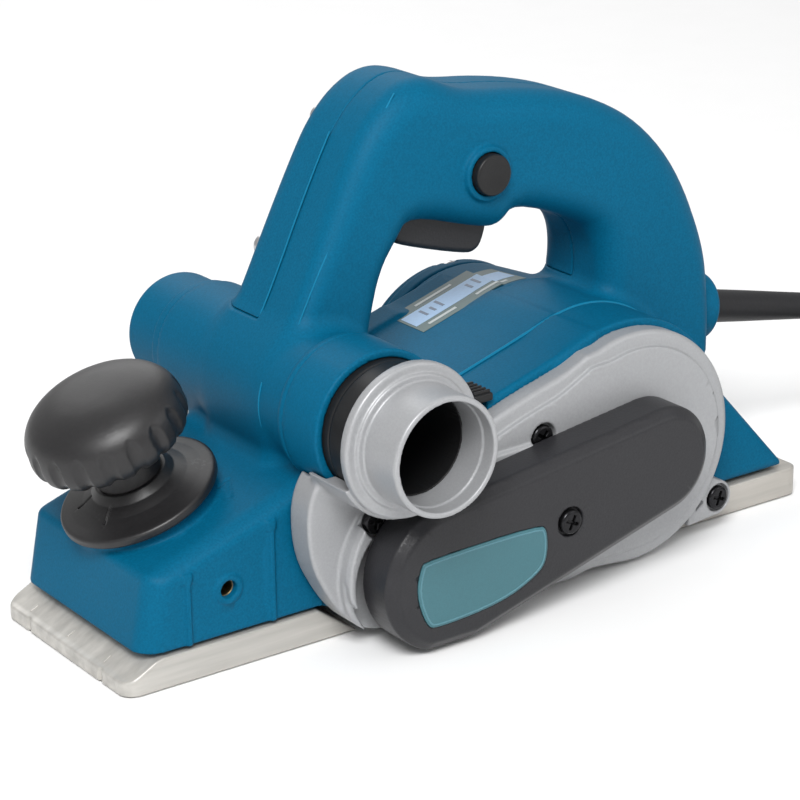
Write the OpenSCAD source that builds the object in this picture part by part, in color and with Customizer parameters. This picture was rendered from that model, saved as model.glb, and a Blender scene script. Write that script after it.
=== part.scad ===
// Electric hand planer, 82 mm class, with belt drive on its left side.
// Millimetres. The front points to -X, the belt side to -Y, up is +Z.
// The origin is the middle of the rear sole's flat face, straight below the motor.

/* [Base] */
// Width of the sole
sole_w = 82; // [78:1:90]
// Front end of the front shoe, measured forward of the origin
nose_reach = 198; // [194:1:204]
// Rear end of the rear base, measured back from the origin
tail_reach = 92; // [90:1:98]
// Thickness of the base plates
base_t = 11; // [9:0.5:11]

/* [Cutter drum] */
// Radius of the circle that the blade edges sweep
cut_r = 23.5; // [23:0.25:24]
// Radius of the drum's body
drum_r = 21.5; // [20:0.5:22]
// Distance of the drum's axis forward of the origin
drum_reach = 97; // [95:1:99]

/* [Depth setting] */
// Greatest planing depth
plane_depth = 1; // [0.5:0.1:1]
// Forward lean of the knob's axis in degrees
knob_lean = 23; // [22:0.5:25]
// Slope of the front deck in degrees
deck_slope = 18.5; // [17:0.5:20]
// Radius of the knob's head and of its scale ring
knob_r = 27.4; // [25:0.2:28]

/* [Motor] */
// Height of the motor's axis over the sole
motor_z = 44.5; // [44:0.5:46]
// Outer radius of the motor barrel
barrel_r = 44.7; // [43:0.1:45]
// Outer radius of the laminated stator
stator_r = 29; // [27:0.5:29]

/* [Chip duct] */
// Height of the duct's axis over the sole
duct_z = 78; // [77:0.5:79]
// Outer radius of the hose nozzle
nozzle_r = 20.1; // [19:0.1:20.5]
// Inner radius of the hose nozzle
nozzle_bore_r = 18.1; // [17:0.1:18.4]

/* [Handle] */
// Width of the handle across both halves
handle_w = 42; // [38:1:44]
// Wall thickness of the plastic shells
wall = 3.5; // [3:0.5:4]

/* [Mains lead] */
// Diameter of the mains lead
cord_d = 7.2; // [6.8:0.1:7.6]

/* [Hidden] */
$fn = 64;
eps = 0.01;

// Main axes
drum_x = -drum_reach;
drum_z = cut_r;
motor_x = -1;
duct_x = -109;

// Planes across the width, from the belt side (negative) to the right
side_y = sole_w / 2 - 0.5;
frame_y = -26;
drive_y = -49;
cover_y = -58;
belt_cover_y = -74;
duct_left_y = -57;
duct_right_y = 46;
barrel_right_y = 46;
cap_r = 41.5;
housing_z = 12.4;

// Shaft and bearing sizes
shaft_r = 5;
bearing_bore_r = 5.04;
bearing_r = 13;
bearing_w = 7;
run_gap = 0.3;

// Pulleys: the drum turns slower than the motor
drum_pulley_r = 17;
motor_pulley_r = 11;
pulley_far_y = -69;
pulley_near_y = -59.5;
belt_t = 2.6;

// Handle outline, front view from the left: outer line, then inner line
half_w = handle_w / 2;
handle_edge = 4.5;
handle_edge_y = half_w - handle_edge;
handle_outer = [
    [-127, 50], [-128, 75], [-124, 90], [-112, 112], [-102, 133], [-94, 149], [-88, 160], [-80, 169.5],
    [-71, 175.5], [-63, 177], [-55, 175], [-46, 170.8], [-38, 168.8], [-20, 167], [0, 163],
    [18, 156.5], [34, 147], [48, 132.5], [58, 115], [64, 98], [66, 84], [66, 40]];
handle_inner = [
    [16, 40], [15, 86], [16, 98], [14, 108], [8, 115.5], [-22, 126.5], [-29, 120], [-35, 120],
    [-67, 130], [-73, 122], [-79, 114], [-84, 98], [-88, 80]];
handle_outline = concat(handle_outer, handle_inner);
// The right half ends on these two heights, where it sits on the main shell
strut_joint_z = 101;
tail_joint_z = 90;

// Knob seat on the deck
seat_x = -166;
seat_z = 49;
deck_x = -186.2;
deck_z = 37.5;
deck_end_x = -127;
deck_end_z = deck_z + (deck_end_x - deck_x) * tan(deck_slope);
// The front housing meets the main one on this plane
front_end_x = -122;
deck_chamfer = 4.5;
post_r = 9;
post_bore_r = 4.05;

// Trigger and lock button
trigger_pivot = [-65, 131.5];
trigger_half_w = 9;
lock_x = -39;
lock_z = 142;
lock_r = 7.2;

// Mains lead: guard axis, hand-laid route, coil and plug
guard_start = [78, 0, 66];
guard_len = 59;
guard_slope = 0.2;
cord_r = cord_d / 2;
coil_x = 190;
coil_y = -42;
coil_mid_r = 42;
coil_layers = 3;
lead_route = [
    [135.8, 0, 54.4], [145, 0, 51.8], [153, 0, 47.6], [160, 0, 42], [166, 0, 35.6],
    [172, 0, 29.2], [179, -0.2, 23.6], [187, -0.6, 19.8], [195, -1.4, 18]];
tail_route = [
    [190, -91.4, 3.6], [181, -91.4, 3.6], [172, -91.6, 4.4], [163, -92, 6.8],
    [154, -92.4, 10.2], [145, -92.6, 13.2], [136, -92.8, 15]];
plug_x = 138;
plug_y = -92.8;
plug_z = 15;

blue = [0.10, 0.42, 0.56];
charcoal = [0.16, 0.16, 0.18];
cast_grey = [0.74, 0.75, 0.77];
bright = [0.80, 0.81, 0.82];
steel = [0.62, 0.63, 0.65];
copper = [0.72, 0.42, 0.22];

// ---------- helpers ----------

// A profile drawn in X and Z, run across the width from y0 to y1
module across(y0, y1) {
    translate([0, y1, 0]) rotate([90, 0, 0]) linear_extrude(y1 - y0) children();
}

// A round bar along Y, centred on x and z
module bar(x, z, y0, y1, r) {
    translate([x, y1, z]) rotate([90, 0, 0]) cylinder(h = y1 - y0, r = r);
}

// A ring along Y
module ring(x, z, y0, y1, r, bore) {
    difference() {
        bar(x, z, y0, y1, r);
        bar(x, z, y0 - 1, y1 + 1, bore);
    }
}

// The knob's own frame: its origin on the deck, its Z along the leaning axis
module on_deck() {
    translate([seat_x, 0, seat_z]) rotate([0, -knob_lean, 0]) children();
}

function unit(v) = v / norm(v);
// Inward normal of a closed outline that runs clockwise, at its point i
function edge_normal(a, b) = let (d = unit(b - a)) [d[1], -d[0]];
function corner_normal(p, i) =
    let (n = len(p), a = edge_normal(p[(i + n - 1) % n], p[i]), b = edge_normal(p[i], p[(i + 1) % n]))
    (a + b) / (1 + a * b);
// The same outline moved inwards by d
function inset(p, d) = [for (i = [0:len(p) - 1]) p[i] + d * corner_normal(p, i)];

// Points of an arc, from angle a0 to a1
function arc(x, z, r, a0, a1, n) =
    [for (i = [0:n]) let (a = a0 + (a1 - a0) * i / n) [x + r * cos(a), z + r * sin(a)]];

// Line drawn tight round two circles on the drum's and the motor's axes
axis_span = norm([motor_x - drum_x, motor_z - drum_z]);
axis_lean = atan2(motor_z - drum_z, motor_x - drum_x);
function drive_line(r_drum, r_motor) = let (cone = asin((r_drum - r_motor) / axis_span)) concat(
    arc(drum_x, drum_z, r_drum, axis_lean + 90 - cone, axis_lean + 270 + cone, 30),
    arc(motor_x, motor_z, r_motor, axis_lean - 90 + cone, axis_lean + 90 - cone, 24));

// The same, round the motor's axis and the middle of the belt cover's broad end
cover_end = [-92.5, 25.5];
cover_span = norm([motor_x - cover_end[0], motor_z - cover_end[1]]);
cover_lean = atan2(motor_z - cover_end[1], motor_x - cover_end[0]);
function cover_line(r_end, r_motor) = let (cone = asin((r_end - r_motor) / cover_span)) concat(
    arc(cover_end[0], cover_end[1], r_end, cover_lean + 90 - cone, cover_lean + 270 + cone, 30),
    arc(motor_x, motor_z, r_motor, cover_lean - 90 + cone, cover_lean + 90 - cone, 24));

// Sweep of a round section along a route
function tangent(p, i) = unit(p[min(i + 1, len(p) - 1)] - p[max(i - 1, 0)]);
function side_of(t) = unit(cross([0, 0, 1], t));
module tube(route, r, sides) {
    points = [for (i = [0:len(route) - 1])
        let (t = tangent(route, i), s = side_of(t), u = cross(t, s))
        for (k = [0:sides - 1])
            route[i] + r * cos(360 * k / sides) * s + r * sin(360 * k / sides) * u];
    last = (len(route) - 1) * sides;
    faces = concat(
        [[for (k = [0:sides - 1]) k]],
        [for (i = [0:len(route) - 2]) for (k = [0:sides - 1])
            [i * sides + k, (i + 1) * sides + k, (i + 1) * sides + (k + 1) % sides,
             i * sides + (k + 1) % sides]],
        [[for (k = [sides - 1:-1:0]) last + k]]);
    polyhedron(points = points, faces = faces, convexity = 6);
}

// Cross-head screw along -Y: its head's outer face at y
module side_screw(x, y, z, head_r, length) {
    difference() {
        union() {
            bar(x, z, y, y + 3, head_r);
            bar(x, z, y + 3 - eps, y + length, head_r * 0.45);
        }
        for (a = [45, 135])
            translate([x, y, z]) rotate([0, a, 0]) cube([head_r * 1.3, 2.4, head_r * 0.3], center = true);
    }
}

// ---------- housing shells ----------

// Side view of the front block, with its deck lowered by d
module front_block_profile(d) {
    polygon([
        [-191.2, housing_z], [deck_x + d * 0.2, deck_z - d], [deck_end_x, deck_end_z - d],
        [front_end_x, deck_end_z + 3 - d], [front_end_x, housing_z]]);
}

module mid_profile() {
    polygon([
        [front_end_x, housing_z], [front_end_x, 70], [-96, 78], [-89, 66], [-80, 66.5], [-14, 87],
        [motor_x, motor_z], [30, housing_z]]);
}

module rear_profile() {
    polygon([
        [0, housing_z], [84.5, housing_z], [84.5, 14.5], [56, 46], [37, 67.5], [0, 67.5]]);
}

// Both halves of the handle: a broad core and a narrower edge, with the sides eased
module handle_solid(y0, y1) {
    across(max(y0, -handle_edge_y), min(y1, handle_edge_y)) polygon(handle_outline);
    across(y0, y1) polygon(inset(handle_outline, handle_edge));
}

module handle_hollow() {
    across(-half_w + wall, half_w - wall) polygon(inset(handle_outline, handle_edge + wall));
    // Room for the trigger through the underside
    across(-trigger_half_w - 0.6, trigger_half_w + 0.6)
        polygon([[-71, 139.5], [-71.5, 118], [-60, 112], [-27.4, 112], [-27.4, 139.5]]);
}

// Everything of the handle above the lines where it stands on the lower housings
module above_joints() {
    translate([-140, -40, strut_joint_z]) cube([90, 80, 100]);
    translate([-60, -40, tail_joint_z]) cube([140, 80, 120]);
}

// Foot of the front strut, astride the duct
module strut_foot() {
    intersection() {
        handle_solid(-half_w, half_w);
        translate([-140, -40, 50]) cube([70, 80, strut_joint_z - 50]);
    }
}

// Lead channel: down the rear strut, then out along the lead's own axis
lead_bore_r = 6.6;
module lead_channel() {
    translate([40, 0, 70]) cylinder(h = 40, r = 8);
    translate([guard_start[0] - 48, 0, guard_start[2] + 48 * guard_slope])
        rotate([0, 90 + atan(guard_slope), 0]) cylinder(h = 60, r = lead_bore_r);
}

module handle_room() {
    difference() {
        handle_hollow();
        translate([-140, -40, 0]) cube([90, 80, strut_joint_z + 5]);
        translate([-40, -40, 0]) cube([140, 80, tail_joint_z + 2]);
    }
}

// The duct's outside, grown by d
module duct_outside(d) {
    bar(duct_x, duct_z, -36, duct_right_y, 22.5 + d);
    bar(duct_x, duct_z, duct_left_y, -34, 25.4 + d);
}

module front_housing() color(blue) difference() {
    union() {
        for (step = [0, 0.5, 1])
            across(-side_y + deck_chamfer * (1 - step), side_y - deck_chamfer * (1 - step))
                front_block_profile(3 * step);
        // Seat of the knob's scale ring
        on_deck() translate([0, 0, -12]) cylinder(h = 12, r = 24.5);
    }
    difference() {
        front_hollow();
        // Guide boss round the shoe's post
        on_deck() translate([0, 0, -26]) cylinder(h = 30, r = 13);
    }
    // Guide bore for the post, knob bore through the deck
    on_deck() translate([0, 0, -60]) cylinder(h = 55, r = post_r + 0.05);
    on_deck() translate([0, 0, -10]) cylinder(h = 20, r = 5.05);
    // Threaded fence hole
    bar(-158.4, 28, -side_y - 1, -side_y + 12.2, 4.5);
    duct_outside(0.02);
    strut_foot();
    drum_chamber();
}

module front_hollow() {
    roof = wall + 1;
    for (step = [0, 1])
        across(-side_y + wall + deck_chamfer * (1 - step), side_y - wall - deck_chamfer * (1 - step))
            polygon([
                [-187.4, 0], [deck_x + 3, deck_z - roof - 3 * step],
                [deck_end_x, deck_end_z - roof - 3 * step], [deck_end_x, 0]]);
}

module duct_housing() color(blue) difference() {
    union() {
        duct_outside(0);
        strut_foot();
    }
    bar(duct_x, duct_z, duct_left_y - 1, duct_right_y + 1, 18.6);
    bar(duct_x, duct_z, duct_left_y - 1, -45, 22.55);
    // Mouth of the chute
    across(-30, 30) polygon([[-121, 40], [-121, duct_z], [-98, duct_z], [-98, 40]]);
}

module handle_left() color(blue) difference() {
    union() {
        intersection() {
            handle_solid(-half_w, 0);
            above_joints();
        }
        translate([lock_x, -half_w + 2, lock_z]) rotate([90, 0, 0]) cylinder(h = 4, r = 9.6);
    }
    handle_room();
    lead_channel();
    bar(lock_x, lock_z, -half_w - 8, 0, lock_r + 0.3);
}

module drum_chamber() {
    bar(drum_x, drum_z, -side_y - 1, side_y + 0.6, cut_r + 1.5);
}

module motor_room() {
    difference() {
        bar(motor_x, motor_z, frame_y - 1, barrel_right_y + 1, cap_r - wall);
        translate([-60, -60, -20]) cube([120, 120, housing_z + 2.5 + 20]);
        // Ribs that hold the stator
        for (y = [0, 30]) ring(motor_x, motor_z, y, y + 3, barrel_r, stator_r + 0.03);
    }
    bar(motor_x, motor_z, frame_y - 1, barrel_right_y + 1, stator_r + 0.03);
}

module main_housing() color(blue) difference() {
    union() {
        across(frame_y, side_y) mid_profile();
        across(-side_y, side_y) rear_profile();
        difference() {
            union() {
                bar(motor_x, motor_z, frame_y, 8, barrel_r);
                barrel_taper(0);
            }
            translate([-60, -60, -20]) cube([120, 120, housing_z + 20]);
        }
        // Plate and bulge over the drum's right end and bearing
        difference() {
            union() {
                bar(drum_x, drum_z, side_y - 1, 44.5, cut_r + 5);
                bar(drum_x, drum_z, side_y - 1, 51.5, 17);
            }
            translate([-130, 30, -10]) cube([70, 40, housing_z + 10]);
            translate([-140, 30, -10]) cube([140 + front_end_x, 40, 80]);
        }
        // Boss where the mains lead leaves
        translate([58, 0, 70]) rotate([0, 90 + atan(guard_slope), 0]) cylinder(h = 19, r = 13.5);
        // Foot of the rear strut
        intersection() {
            handle_solid(-half_w, half_w);
            translate([0, -40, 40]) cube([90, 80, tail_joint_z - 40]);
        }
    }
    duct_outside(0.02);
    strut_foot();
    // Room of the blue frame on the belt side
    bar(motor_x, motor_z, -60, frame_y, barrel_r);
    lead_channel();
    drum_chamber();
    // Chute from the drum up into the duct
    across(-30, 30) polygon([[-121, 24], [-121, 70], [-98, 70], [-98, 40], [-106, 24]]);
    motor_room();
    // Seat of the right drum bearing
    bar(drum_x, drum_z, 40, 49.6, bearing_r + 0.03);
    // Motor cap screws
    for (a = cap_screw_angles) bar_at_cap(a, 30, barrel_right_y + 1, 1.9);
}

// Screw places round the motor cap
cap_screw_angles = [20, 90, 160];
cap_screw_r = 37.5;
module bar_at_cap(a, y0, y1, r) {
    bar(motor_x + cap_screw_r * cos(a), motor_z + cap_screw_r * sin(a), y0, y1, r);
}

// Blue frame between the motor barrel and the belt side: it holds both left bearings
module drive_frame() color(blue) difference() {
    union() {
        across(drive_y, frame_y) mid_profile();
        difference() {
            bar(motor_x, motor_z, drive_y, frame_y, barrel_r);
            translate([-60, -60, -20]) cube([120, 50, housing_z + 20]);
        }
        bar(drum_x, drum_z, drive_y, -side_y - 0.6, 17);
    }
    // Cut for the shoe, the drum chamber and the front housing
    translate([-200, -60, -10]) cube([260, 34.1, housing_z + 10]);
    bar(drum_x, drum_z, -side_y - 0.6, 0, cut_r + 1.5);
    bar(duct_x, duct_z, -60, 0, 25.45);
    bar(drum_x, drum_z, drive_y + 1, -side_y, bearing_r + 0.03);
    bar(drum_x, drum_z, drive_y - 1, -side_y, 8);
    bar(motor_x, motor_z, drive_y + 1, -41, bearing_r + 0.03);
    bar(motor_x, motor_z, drive_y - 1, -38, 8);
    for (p = side_screw_spots) bar(p[0], p[1], cover_y, -42, side_shank_r);
    difference() {
        bar(motor_x, motor_z, -39, frame_y + 1, barrel_r - wall);
        translate([-60, -60, -20]) cube([120, 120, housing_z + 2.5 + 20]);
    }
    // Slot and room for the chip selector
    translate([-65.3, -46.4, 58]) cube([4.6, 17.4, 40]);
    translate([-66.4, -47.4, 61.5]) cube([6.8, 18.8, 5.9]);
    across(-44, frame_y + 1) polygon([[-66, 20], [-66, 58], [-48, 64], [-48, 20]]);
}

module handle_cover() color(blue) difference() {
    intersection() {
        handle_solid(0, half_w);
        above_joints();
    }
    handle_room();
    lead_channel();
    for (p = handle_screw_spots) {
        bar(p[0], p[1], half_w - 4, half_w + 1, 4.2);
        bar(p[0], p[1], 3, half_w, 1.9);
    }
}

handle_screw_spots = [[-103, 119], [-79, 160], [-6, 141], [42, 120]];

module duct_cap() color(blue) union() {
    difference() {
        bar(duct_x, duct_z, duct_right_y, 71, 20);
        bar(duct_x, duct_z, duct_right_y - 1, 68, 17.4);
    }
    ring(duct_x, duct_z, duct_right_y, 51, 21.6, 17.4);
    ring(duct_x, duct_z, 40, duct_right_y + eps, 18.5, 16.4);
}

module motor_cap() color(blue) difference() {
    union() {
        bar(motor_x, motor_z, barrel_right_y, 53, cap_r);
        bar(motor_x, motor_z, 52.9, 57, cap_r - 1.5);
        bar(motor_x, motor_z, 56.9, 61, cap_r - 5);
    }
    translate([-60, 30, -20]) cube([120, 60, housing_z + 20]);
    difference() {
        bar(motor_x, motor_z, barrel_right_y - 1, 57.5, 33);
        translate([-60, 30, -20]) cube([120, 60, housing_z + 2.5 + 20]);
        ring(motor_x, motor_z, 50.6, 60, 17, bearing_r + 0.03);
    }
    bar(motor_x, motor_z, barrel_right_y - 1, 58.5, bearing_r + 0.03);
    // Air slots
    for (i = [-3:3]) {
        slot_h = sqrt(29 * 29 - pow(i * 7.5, 2)) - 16;
        translate([motor_x + i * 7.5 - 1.6, 50, motor_z + 18]) cube([3.2, 20, slot_h]);
    }
    for (a = cap_screw_angles) {
        bar_at_cap(a, barrel_right_y - 1, 53, 2.2);
        bar_at_cap(a, 50.5, 62, 4.2);
    }
}

// ---------- left side: grey casting, belt cover, nozzle ----------

module side_cover_profile() {
    polygon([
        [-138, 34], [-139, 52], [-136, 63], [-128, 70], [-109, 62], [-80, 62], [-56, 72],
        [-30, 79], [-18, 84], [motor_x, motor_z], [10, 2.2], [-92, 1.6], [-114, 5],
        [-124, 12], [-131, 22]]);
    translate([motor_x, motor_z]) circle(r = 42.4);
}

// Lug at the lower rear, lower than the cover's face
lug = [42, 13.9];
lug_y = -52;
// Rear face of the nozzle's flange
flange_y = -71;
module side_cover_lug() {
    translate(lug) circle(r = 6.5);
    polygon([[28, 6], [lug[0] + 1, lug[1] - 6.4], [lug[0] + 1, lug[1] + 6.4], [28, 30]]);
}

module side_cover() color(cast_grey) difference() {
    union() {
        across(cover_y, drive_y) side_cover_profile();
        difference() {
            across(lug_y, -side_y - 0.6) side_cover_lug();
            bar(motor_x, motor_z, drive_y, -38, barrel_r + 0.1);
        }
        // Skirt beside the base
        intersection() {
            across(drive_y - eps, -sole_w / 2 - 0.3) side_cover_profile();
            translate([-128, -60, 1.6]) cube([182, 30, housing_z - 1.9]);
        }
        // Front lobe, down the front housing's side
        across(drive_y - eps, -side_y - 0.1)
            polygon([[-138, 34], [-139, 52], [-136, 63], [-128, 70], [-124, 64], [-124, 12], [-131, 22]]);
        // Nozzle flange and hose nozzle
        bar(duct_x, duct_z, flange_y - 4, flange_y, 26);
        // Neck from the flange down to the cover's face
        intersection() {
            bar(duct_x, duct_z, flange_y - 0.01, cover_y + 0.2, 27.5);
            translate([-136, flange_y - 1, 52.5]) cube([60, 22, 13.5]);
        }
        bar(duct_x, duct_z, -93, flange_y - 3, nozzle_r);
    }
    bar(duct_x, duct_z, -94, -40, nozzle_bore_r);
    bar(duct_x, duct_z, flange_y - 2, -40, 22.6);
    bar(duct_x, duct_z, duct_left_y - 1, -40, 25.7);
    // Belt room behind the cover, and the two shafts
    across(cover_y - 1, -51.5) belt_room_profile();
    bar(drum_x, drum_z, cover_y, -38, 8);
    bar(motor_x, motor_z, cover_y, -38, 8);
    bar(drum_x, drum_z, -50, -38, 17.1);
    // Screw holes
    for (p = side_screw_spots) {
        bar(p[0], p[1], cover_y - 1, -40, side_shank_r);
        bar(p[0], p[1], cover_y - 12, p[2] + 3.01, 5.2);
    }
    bar(-44, 33.6, cover_y - 5, -50, 2.2);
}

// x, z and the y of the screw's head
side_screw_spots = [[-43, 58.5, -57.9], [-112, 45.5, -57.9], [lug[0], lug[1], lug_y - 0.6]];
side_shank_r = 2.2;

module belt_room_profile() {
    difference() {
        polygon(drive_line(21.2, 15.5));
        translate([-44, 33.6]) circle(r = 5);
    }
}

module belt_cover_profile(d) {
    difference() {
        polygon(cover_line(26.5 - d, 19.5 - d));
        translate([-150, -20]) square([200, 21.5 + d]);
    }
}

module belt_cover() color(charcoal) difference() {
    union() {
        across(-70.5, cover_y - 0.1) belt_cover_profile(0);
        across(-72.4, cover_y - 0.1) belt_cover_profile(2);
        across(belt_cover_y, cover_y - 0.1) belt_cover_profile(4);
    }
    difference() {
        union() {
            across(-69.6, cover_y + 1) polygon(cover_line(24.85, 17.3));
            across(-71.6, cover_y + 1) polygon(cover_line(22, 15));
        }
        bar(-44, 33.6, -80, cover_y, 4.5);
        translate([-150, -80, -20]) cube([200, 40, 23.2]);
    }
    bar(-44, 33.6, -80, cover_y + 1, 2.2);
    bar(-44, 33.6, -80, -72, 5);
    bar(duct_x, duct_z, -80, cover_y, 27.8);
    for (p = side_screw_spots) bar(p[0], p[1], -80, cover_y, 5.2);
    // Recess for the badge
    across(belt_cover_y - 1, belt_cover_y + 0.6) badge_profile(0.15);
}

module badge_profile(grow) {
    polygon([
        [-108 - grow, 24], [-106 - grow, 33 + grow], [-104, 35 + grow], [-57, 36 + grow],
        [-54 + grow, 33], [-54 + grow, 23], [-58, 18 - grow], [-73, 12 - grow],
        [-100, 10 - grow], [-104, 12 - grow]]);
}

module belt_cover_badge() color([0.20, 0.45, 0.50])
    across(belt_cover_y - 0.4, belt_cover_y + 0.55) badge_profile(0);

module belt_cover_screw() color(charcoal) side_screw(-44, -75, 33.6, 4.7, 18);

module side_cover_screws() color(charcoal) union() {
    for (p = side_screw_spots) side_screw(p[0], p[2], p[1], 4.8, 12);
}

module duct_sleeve() color(charcoal) ring(duct_x, duct_z, flange_y - 1.9, -45.1, 22.5, 19.2);

module fence_insert() color([0.78, 0.62, 0.30])
    ring(-158.4, 28, -side_y, -side_y + 12, 4.45, 2.6);

// Tapering right half of the motor barrel, with its skin moved out by d
module barrel_taper(d) {
    translate([motor_x, 7.99, motor_z]) rotate([-90, 0, 0])
        cylinder(h = barrel_right_y - 7.99, r1 = barrel_r + d, r2 = cap_r + d);
}

// Foil label over the top of the ramp and the barrel
module rating_label() color([0.55, 0.62, 0.58]) difference() {
    label_foil();
    across(9, 32) mid_profile();
}

module label_foil() {
    across(10, 31) polygon([[-44, 77.8], [-44, 78.3], [-14, 87.6], [-14, 87.1]]);
    intersection() {
        difference() {
            barrel_taper(0.6);
            barrel_taper(0.08);
        }
        translate([-14.1, 10, 80]) cube([17.1, 21, 12]);
    }
}

module handle_screws() color(steel) union() {
    for (p = handle_screw_spots)
        mirror([0, 1, 0]) side_screw(p[0], -half_w + 0.4, p[1], 4, 16);
}

module motor_cap_screws() color(steel) union() {
    for (a = cap_screw_angles)
        mirror([0, 1, 0])
            side_screw(motor_x + cap_screw_r * cos(a), -54, motor_z + cap_screw_r * sin(a), 3.9, 18);
}

// ---------- base ----------

module rear_base() color(bright) difference() {
    union() {
        translate([-92, -sole_w / 2, 0]) cube([92 + tail_reach, sole_w, base_t]);
        // Rails that carry the housing
        for (s = [-1, 1]) translate([-60, s * 30 - 4, base_t - eps]) cube([100, 8, 1.3]);
    }
    bar(drum_x, drum_z, -60, 60, cut_r + 1.5);
    // Rounded rear corners
    for (s = [-1, 1]) translate([tail_reach - 4, s * (sole_w / 2 - 4), 0]) corner_cut(s);
    for (x = [-50, 30]) for (s = [-1, 1]) {
        translate([x, s * 30, -1]) cylinder(h = 20, r = 2.3);
        translate([x, s * 30, -1]) cylinder(h = 5, r = 4.6);
    }
}

// Removes the material outside a 4 mm corner radius
module corner_cut(s) {
    difference() {
        translate([0, s > 0 ? 0 : -5, -1]) cube([5, 5, base_t + 4]);
        translate([0, 0, -2]) cylinder(h = base_t + 6, r = 4);
    }
}

module base_screws() color(steel) union() {
    for (x = [-50, 30]) for (s = [-1, 1]) translate([x, s * 30, 0]) difference() {
        union() {
            translate([0, 0, 1]) cylinder(h = 3, r = 4.4);
            cylinder(h = 12.2, r = 2.2);
        }
        translate([0, 0, -1]) cylinder(h = 3.4, r = 2.3, $fn = 6);
    }
}

module front_shoe() color(bright) difference() {
    union() {
        across(-sole_w / 2, sole_w / 2)
            polygon([
                [-nose_reach, 0], [-nose_reach, 4.6], [-nose_reach + 1, 5.4], [-184.5, base_t],
                [-124, base_t], [-109, 0]]);
    }
    for (s = [-1, 1]) translate([-nose_reach + 6, s * (sole_w / 2 - 6), 0])
        rotate([0, 0, 180]) shoe_corner(s);
    // Post seat
    on_deck() translate([0, 0, -60]) cylinder(h = 24, r = post_bore_r);
    // Sight grooves in the front edge
    for (s = [-1, 1]) translate([-nose_reach, s * 24, -1])
        rotate([0, 0, 45]) cube([1.6, 1.6, 20], center = true);
}

module shoe_corner(s) {
    difference() {
        translate([0, s > 0 ? -7 : 0, -1]) cube([7, 7, base_t + 4]);
        translate([0, 0, -2]) cylinder(h = base_t + 6, r = 6);
    }
}

// Threaded post of the shoe, running in the housing's guide boss
module shoe_post() color(steel) difference() {
    on_deck() translate([0, 0, -44]) cylinder(h = 29.5, r = post_r);
    on_deck() translate([0, 0, -60]) cylinder(h = 60, r = post_bore_r);
    translate([-200, -40, -20]) cube([100, 80, base_t + 20]);
}

module shoe_spring() color(steel) on_deck() difference() {
    translate([0, 0, -13.2]) cylinder(h = 8.2, r = 8.6);
    translate([0, 0, -14]) cylinder(h = 10, r = 6.6);
}

// ---------- depth knob ----------

module depth_knob() color(charcoal) on_deck() difference() {
    union() {
        translate([0, 0, 12.5]) cylinder(h = 8, r = 11.4);
        translate([0, 0, 19]) cylinder(h = 4, r1 = 13, r2 = 21);
        translate([0, 0, 22.6]) cylinder(h = 4, r1 = 23.5, r2 = knob_r - 0.6);
        translate([0, 0, 26.5]) cylinder(h = 13, r = knob_r);
        translate([0, 0, 39.4]) cylinder(h = 4, r1 = knob_r, r2 = 24);
        translate([0, 0, 43.3]) cylinder(h = 3.4, r1 = 24, r2 = 15);
    }
    // Finger grooves round the head
    for (a = [0:20:340]) rotate([0, 0, a]) translate([knob_r + 1.1, 0, 21]) cylinder(h = 17.5, r = 2);
    translate([0, 0, 5]) cylinder(h = 24, r = 4.05);
}

module scale_ring() color(charcoal) on_deck() difference() {
    union() {
        translate([0, 0, 0.3]) cylinder(h = 3, r = knob_r);
        translate([0, 0, 3.2]) cylinder(h = 3, r1 = knob_r - 3, r2 = 20);
        translate([0, 0, 6.1]) cylinder(h = 6.4, r1 = 20, r2 = 12);
    }
    translate([0, 0, -1]) cylinder(h = 20, r = 5.05);
}

module depth_screw() color(steel) on_deck() union() {
    translate([0, 0, -37]) cylinder(h = 62, r = 4);
    translate([0, 0, -6]) cylinder(h = 18, r = 5);
    translate([0, 0, -7.5]) cylinder(h = 2.3, r = 6.4);
}

// ---------- cutter drum ----------

// Two blade slots opposite each other
module drum_slots(grow) {
    for (a = [0, 180]) translate([drum_x, 0, drum_z]) rotate([0, a + 35, 0])
        translate([3 - grow, -50, 10 - grow]) cube([9 + 2 * grow, 100, 20]);
}

module drum_body() color(bright) difference() {
    bar(drum_x, drum_z, -40.6, 40.6, drum_r);
    bar(drum_x, drum_z, -42, 42, shaft_r);
    drum_slots(0);
}

module drum_blades() color([0.86, 0.87, 0.9])
    for (a = [0, 180]) translate([drum_x, 0, drum_z]) rotate([0, a + 35, 0])
        translate([3, -40.5, 10]) cube([1.2, 81, 13.1]);

module blade_clamps() color(steel)
    for (a = [0, 180]) translate([drum_x, 0, drum_z]) rotate([0, a + 35, 0])
        translate([4.2, -40.4, 10]) difference() {
            cube([7.8, 80.8, 7.6]);
            for (y = [14, 40.4, 66.8]) translate([3.9, y, 3.4]) cylinder(h = 8, r = 3.3, $fn = 6);
        }

module clamp_bolts() color(steel)
    for (a = [0, 180]) translate([drum_x, 0, drum_z]) rotate([0, a + 35, 0])
        for (y = [-26.4, 0, 26.4]) translate([8.1, y, 13.45]) cylinder(h = 4, r = 3.2, $fn = 6);

module drum_shaft() color(steel) bar(drum_x, drum_z, -71, 49, shaft_r);

module drum_pulley() color(charcoal) difference() {
    union() {
        bar(drum_x, drum_z, pulley_far_y, pulley_near_y, drum_pulley_r);
        bar(drum_x, drum_z, pulley_near_y, -50, 7.4);
    }
    bar(drum_x, drum_z, -75, -45, shaft_r);
}

module drum_pulley_nut() color(steel) difference() {
    translate([drum_x, pulley_far_y, drum_z]) rotate([90, 0, 0]) cylinder(h = 2, r = 8, $fn = 6);
    bar(drum_x, drum_z, -75, -45, shaft_r);
}

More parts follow.
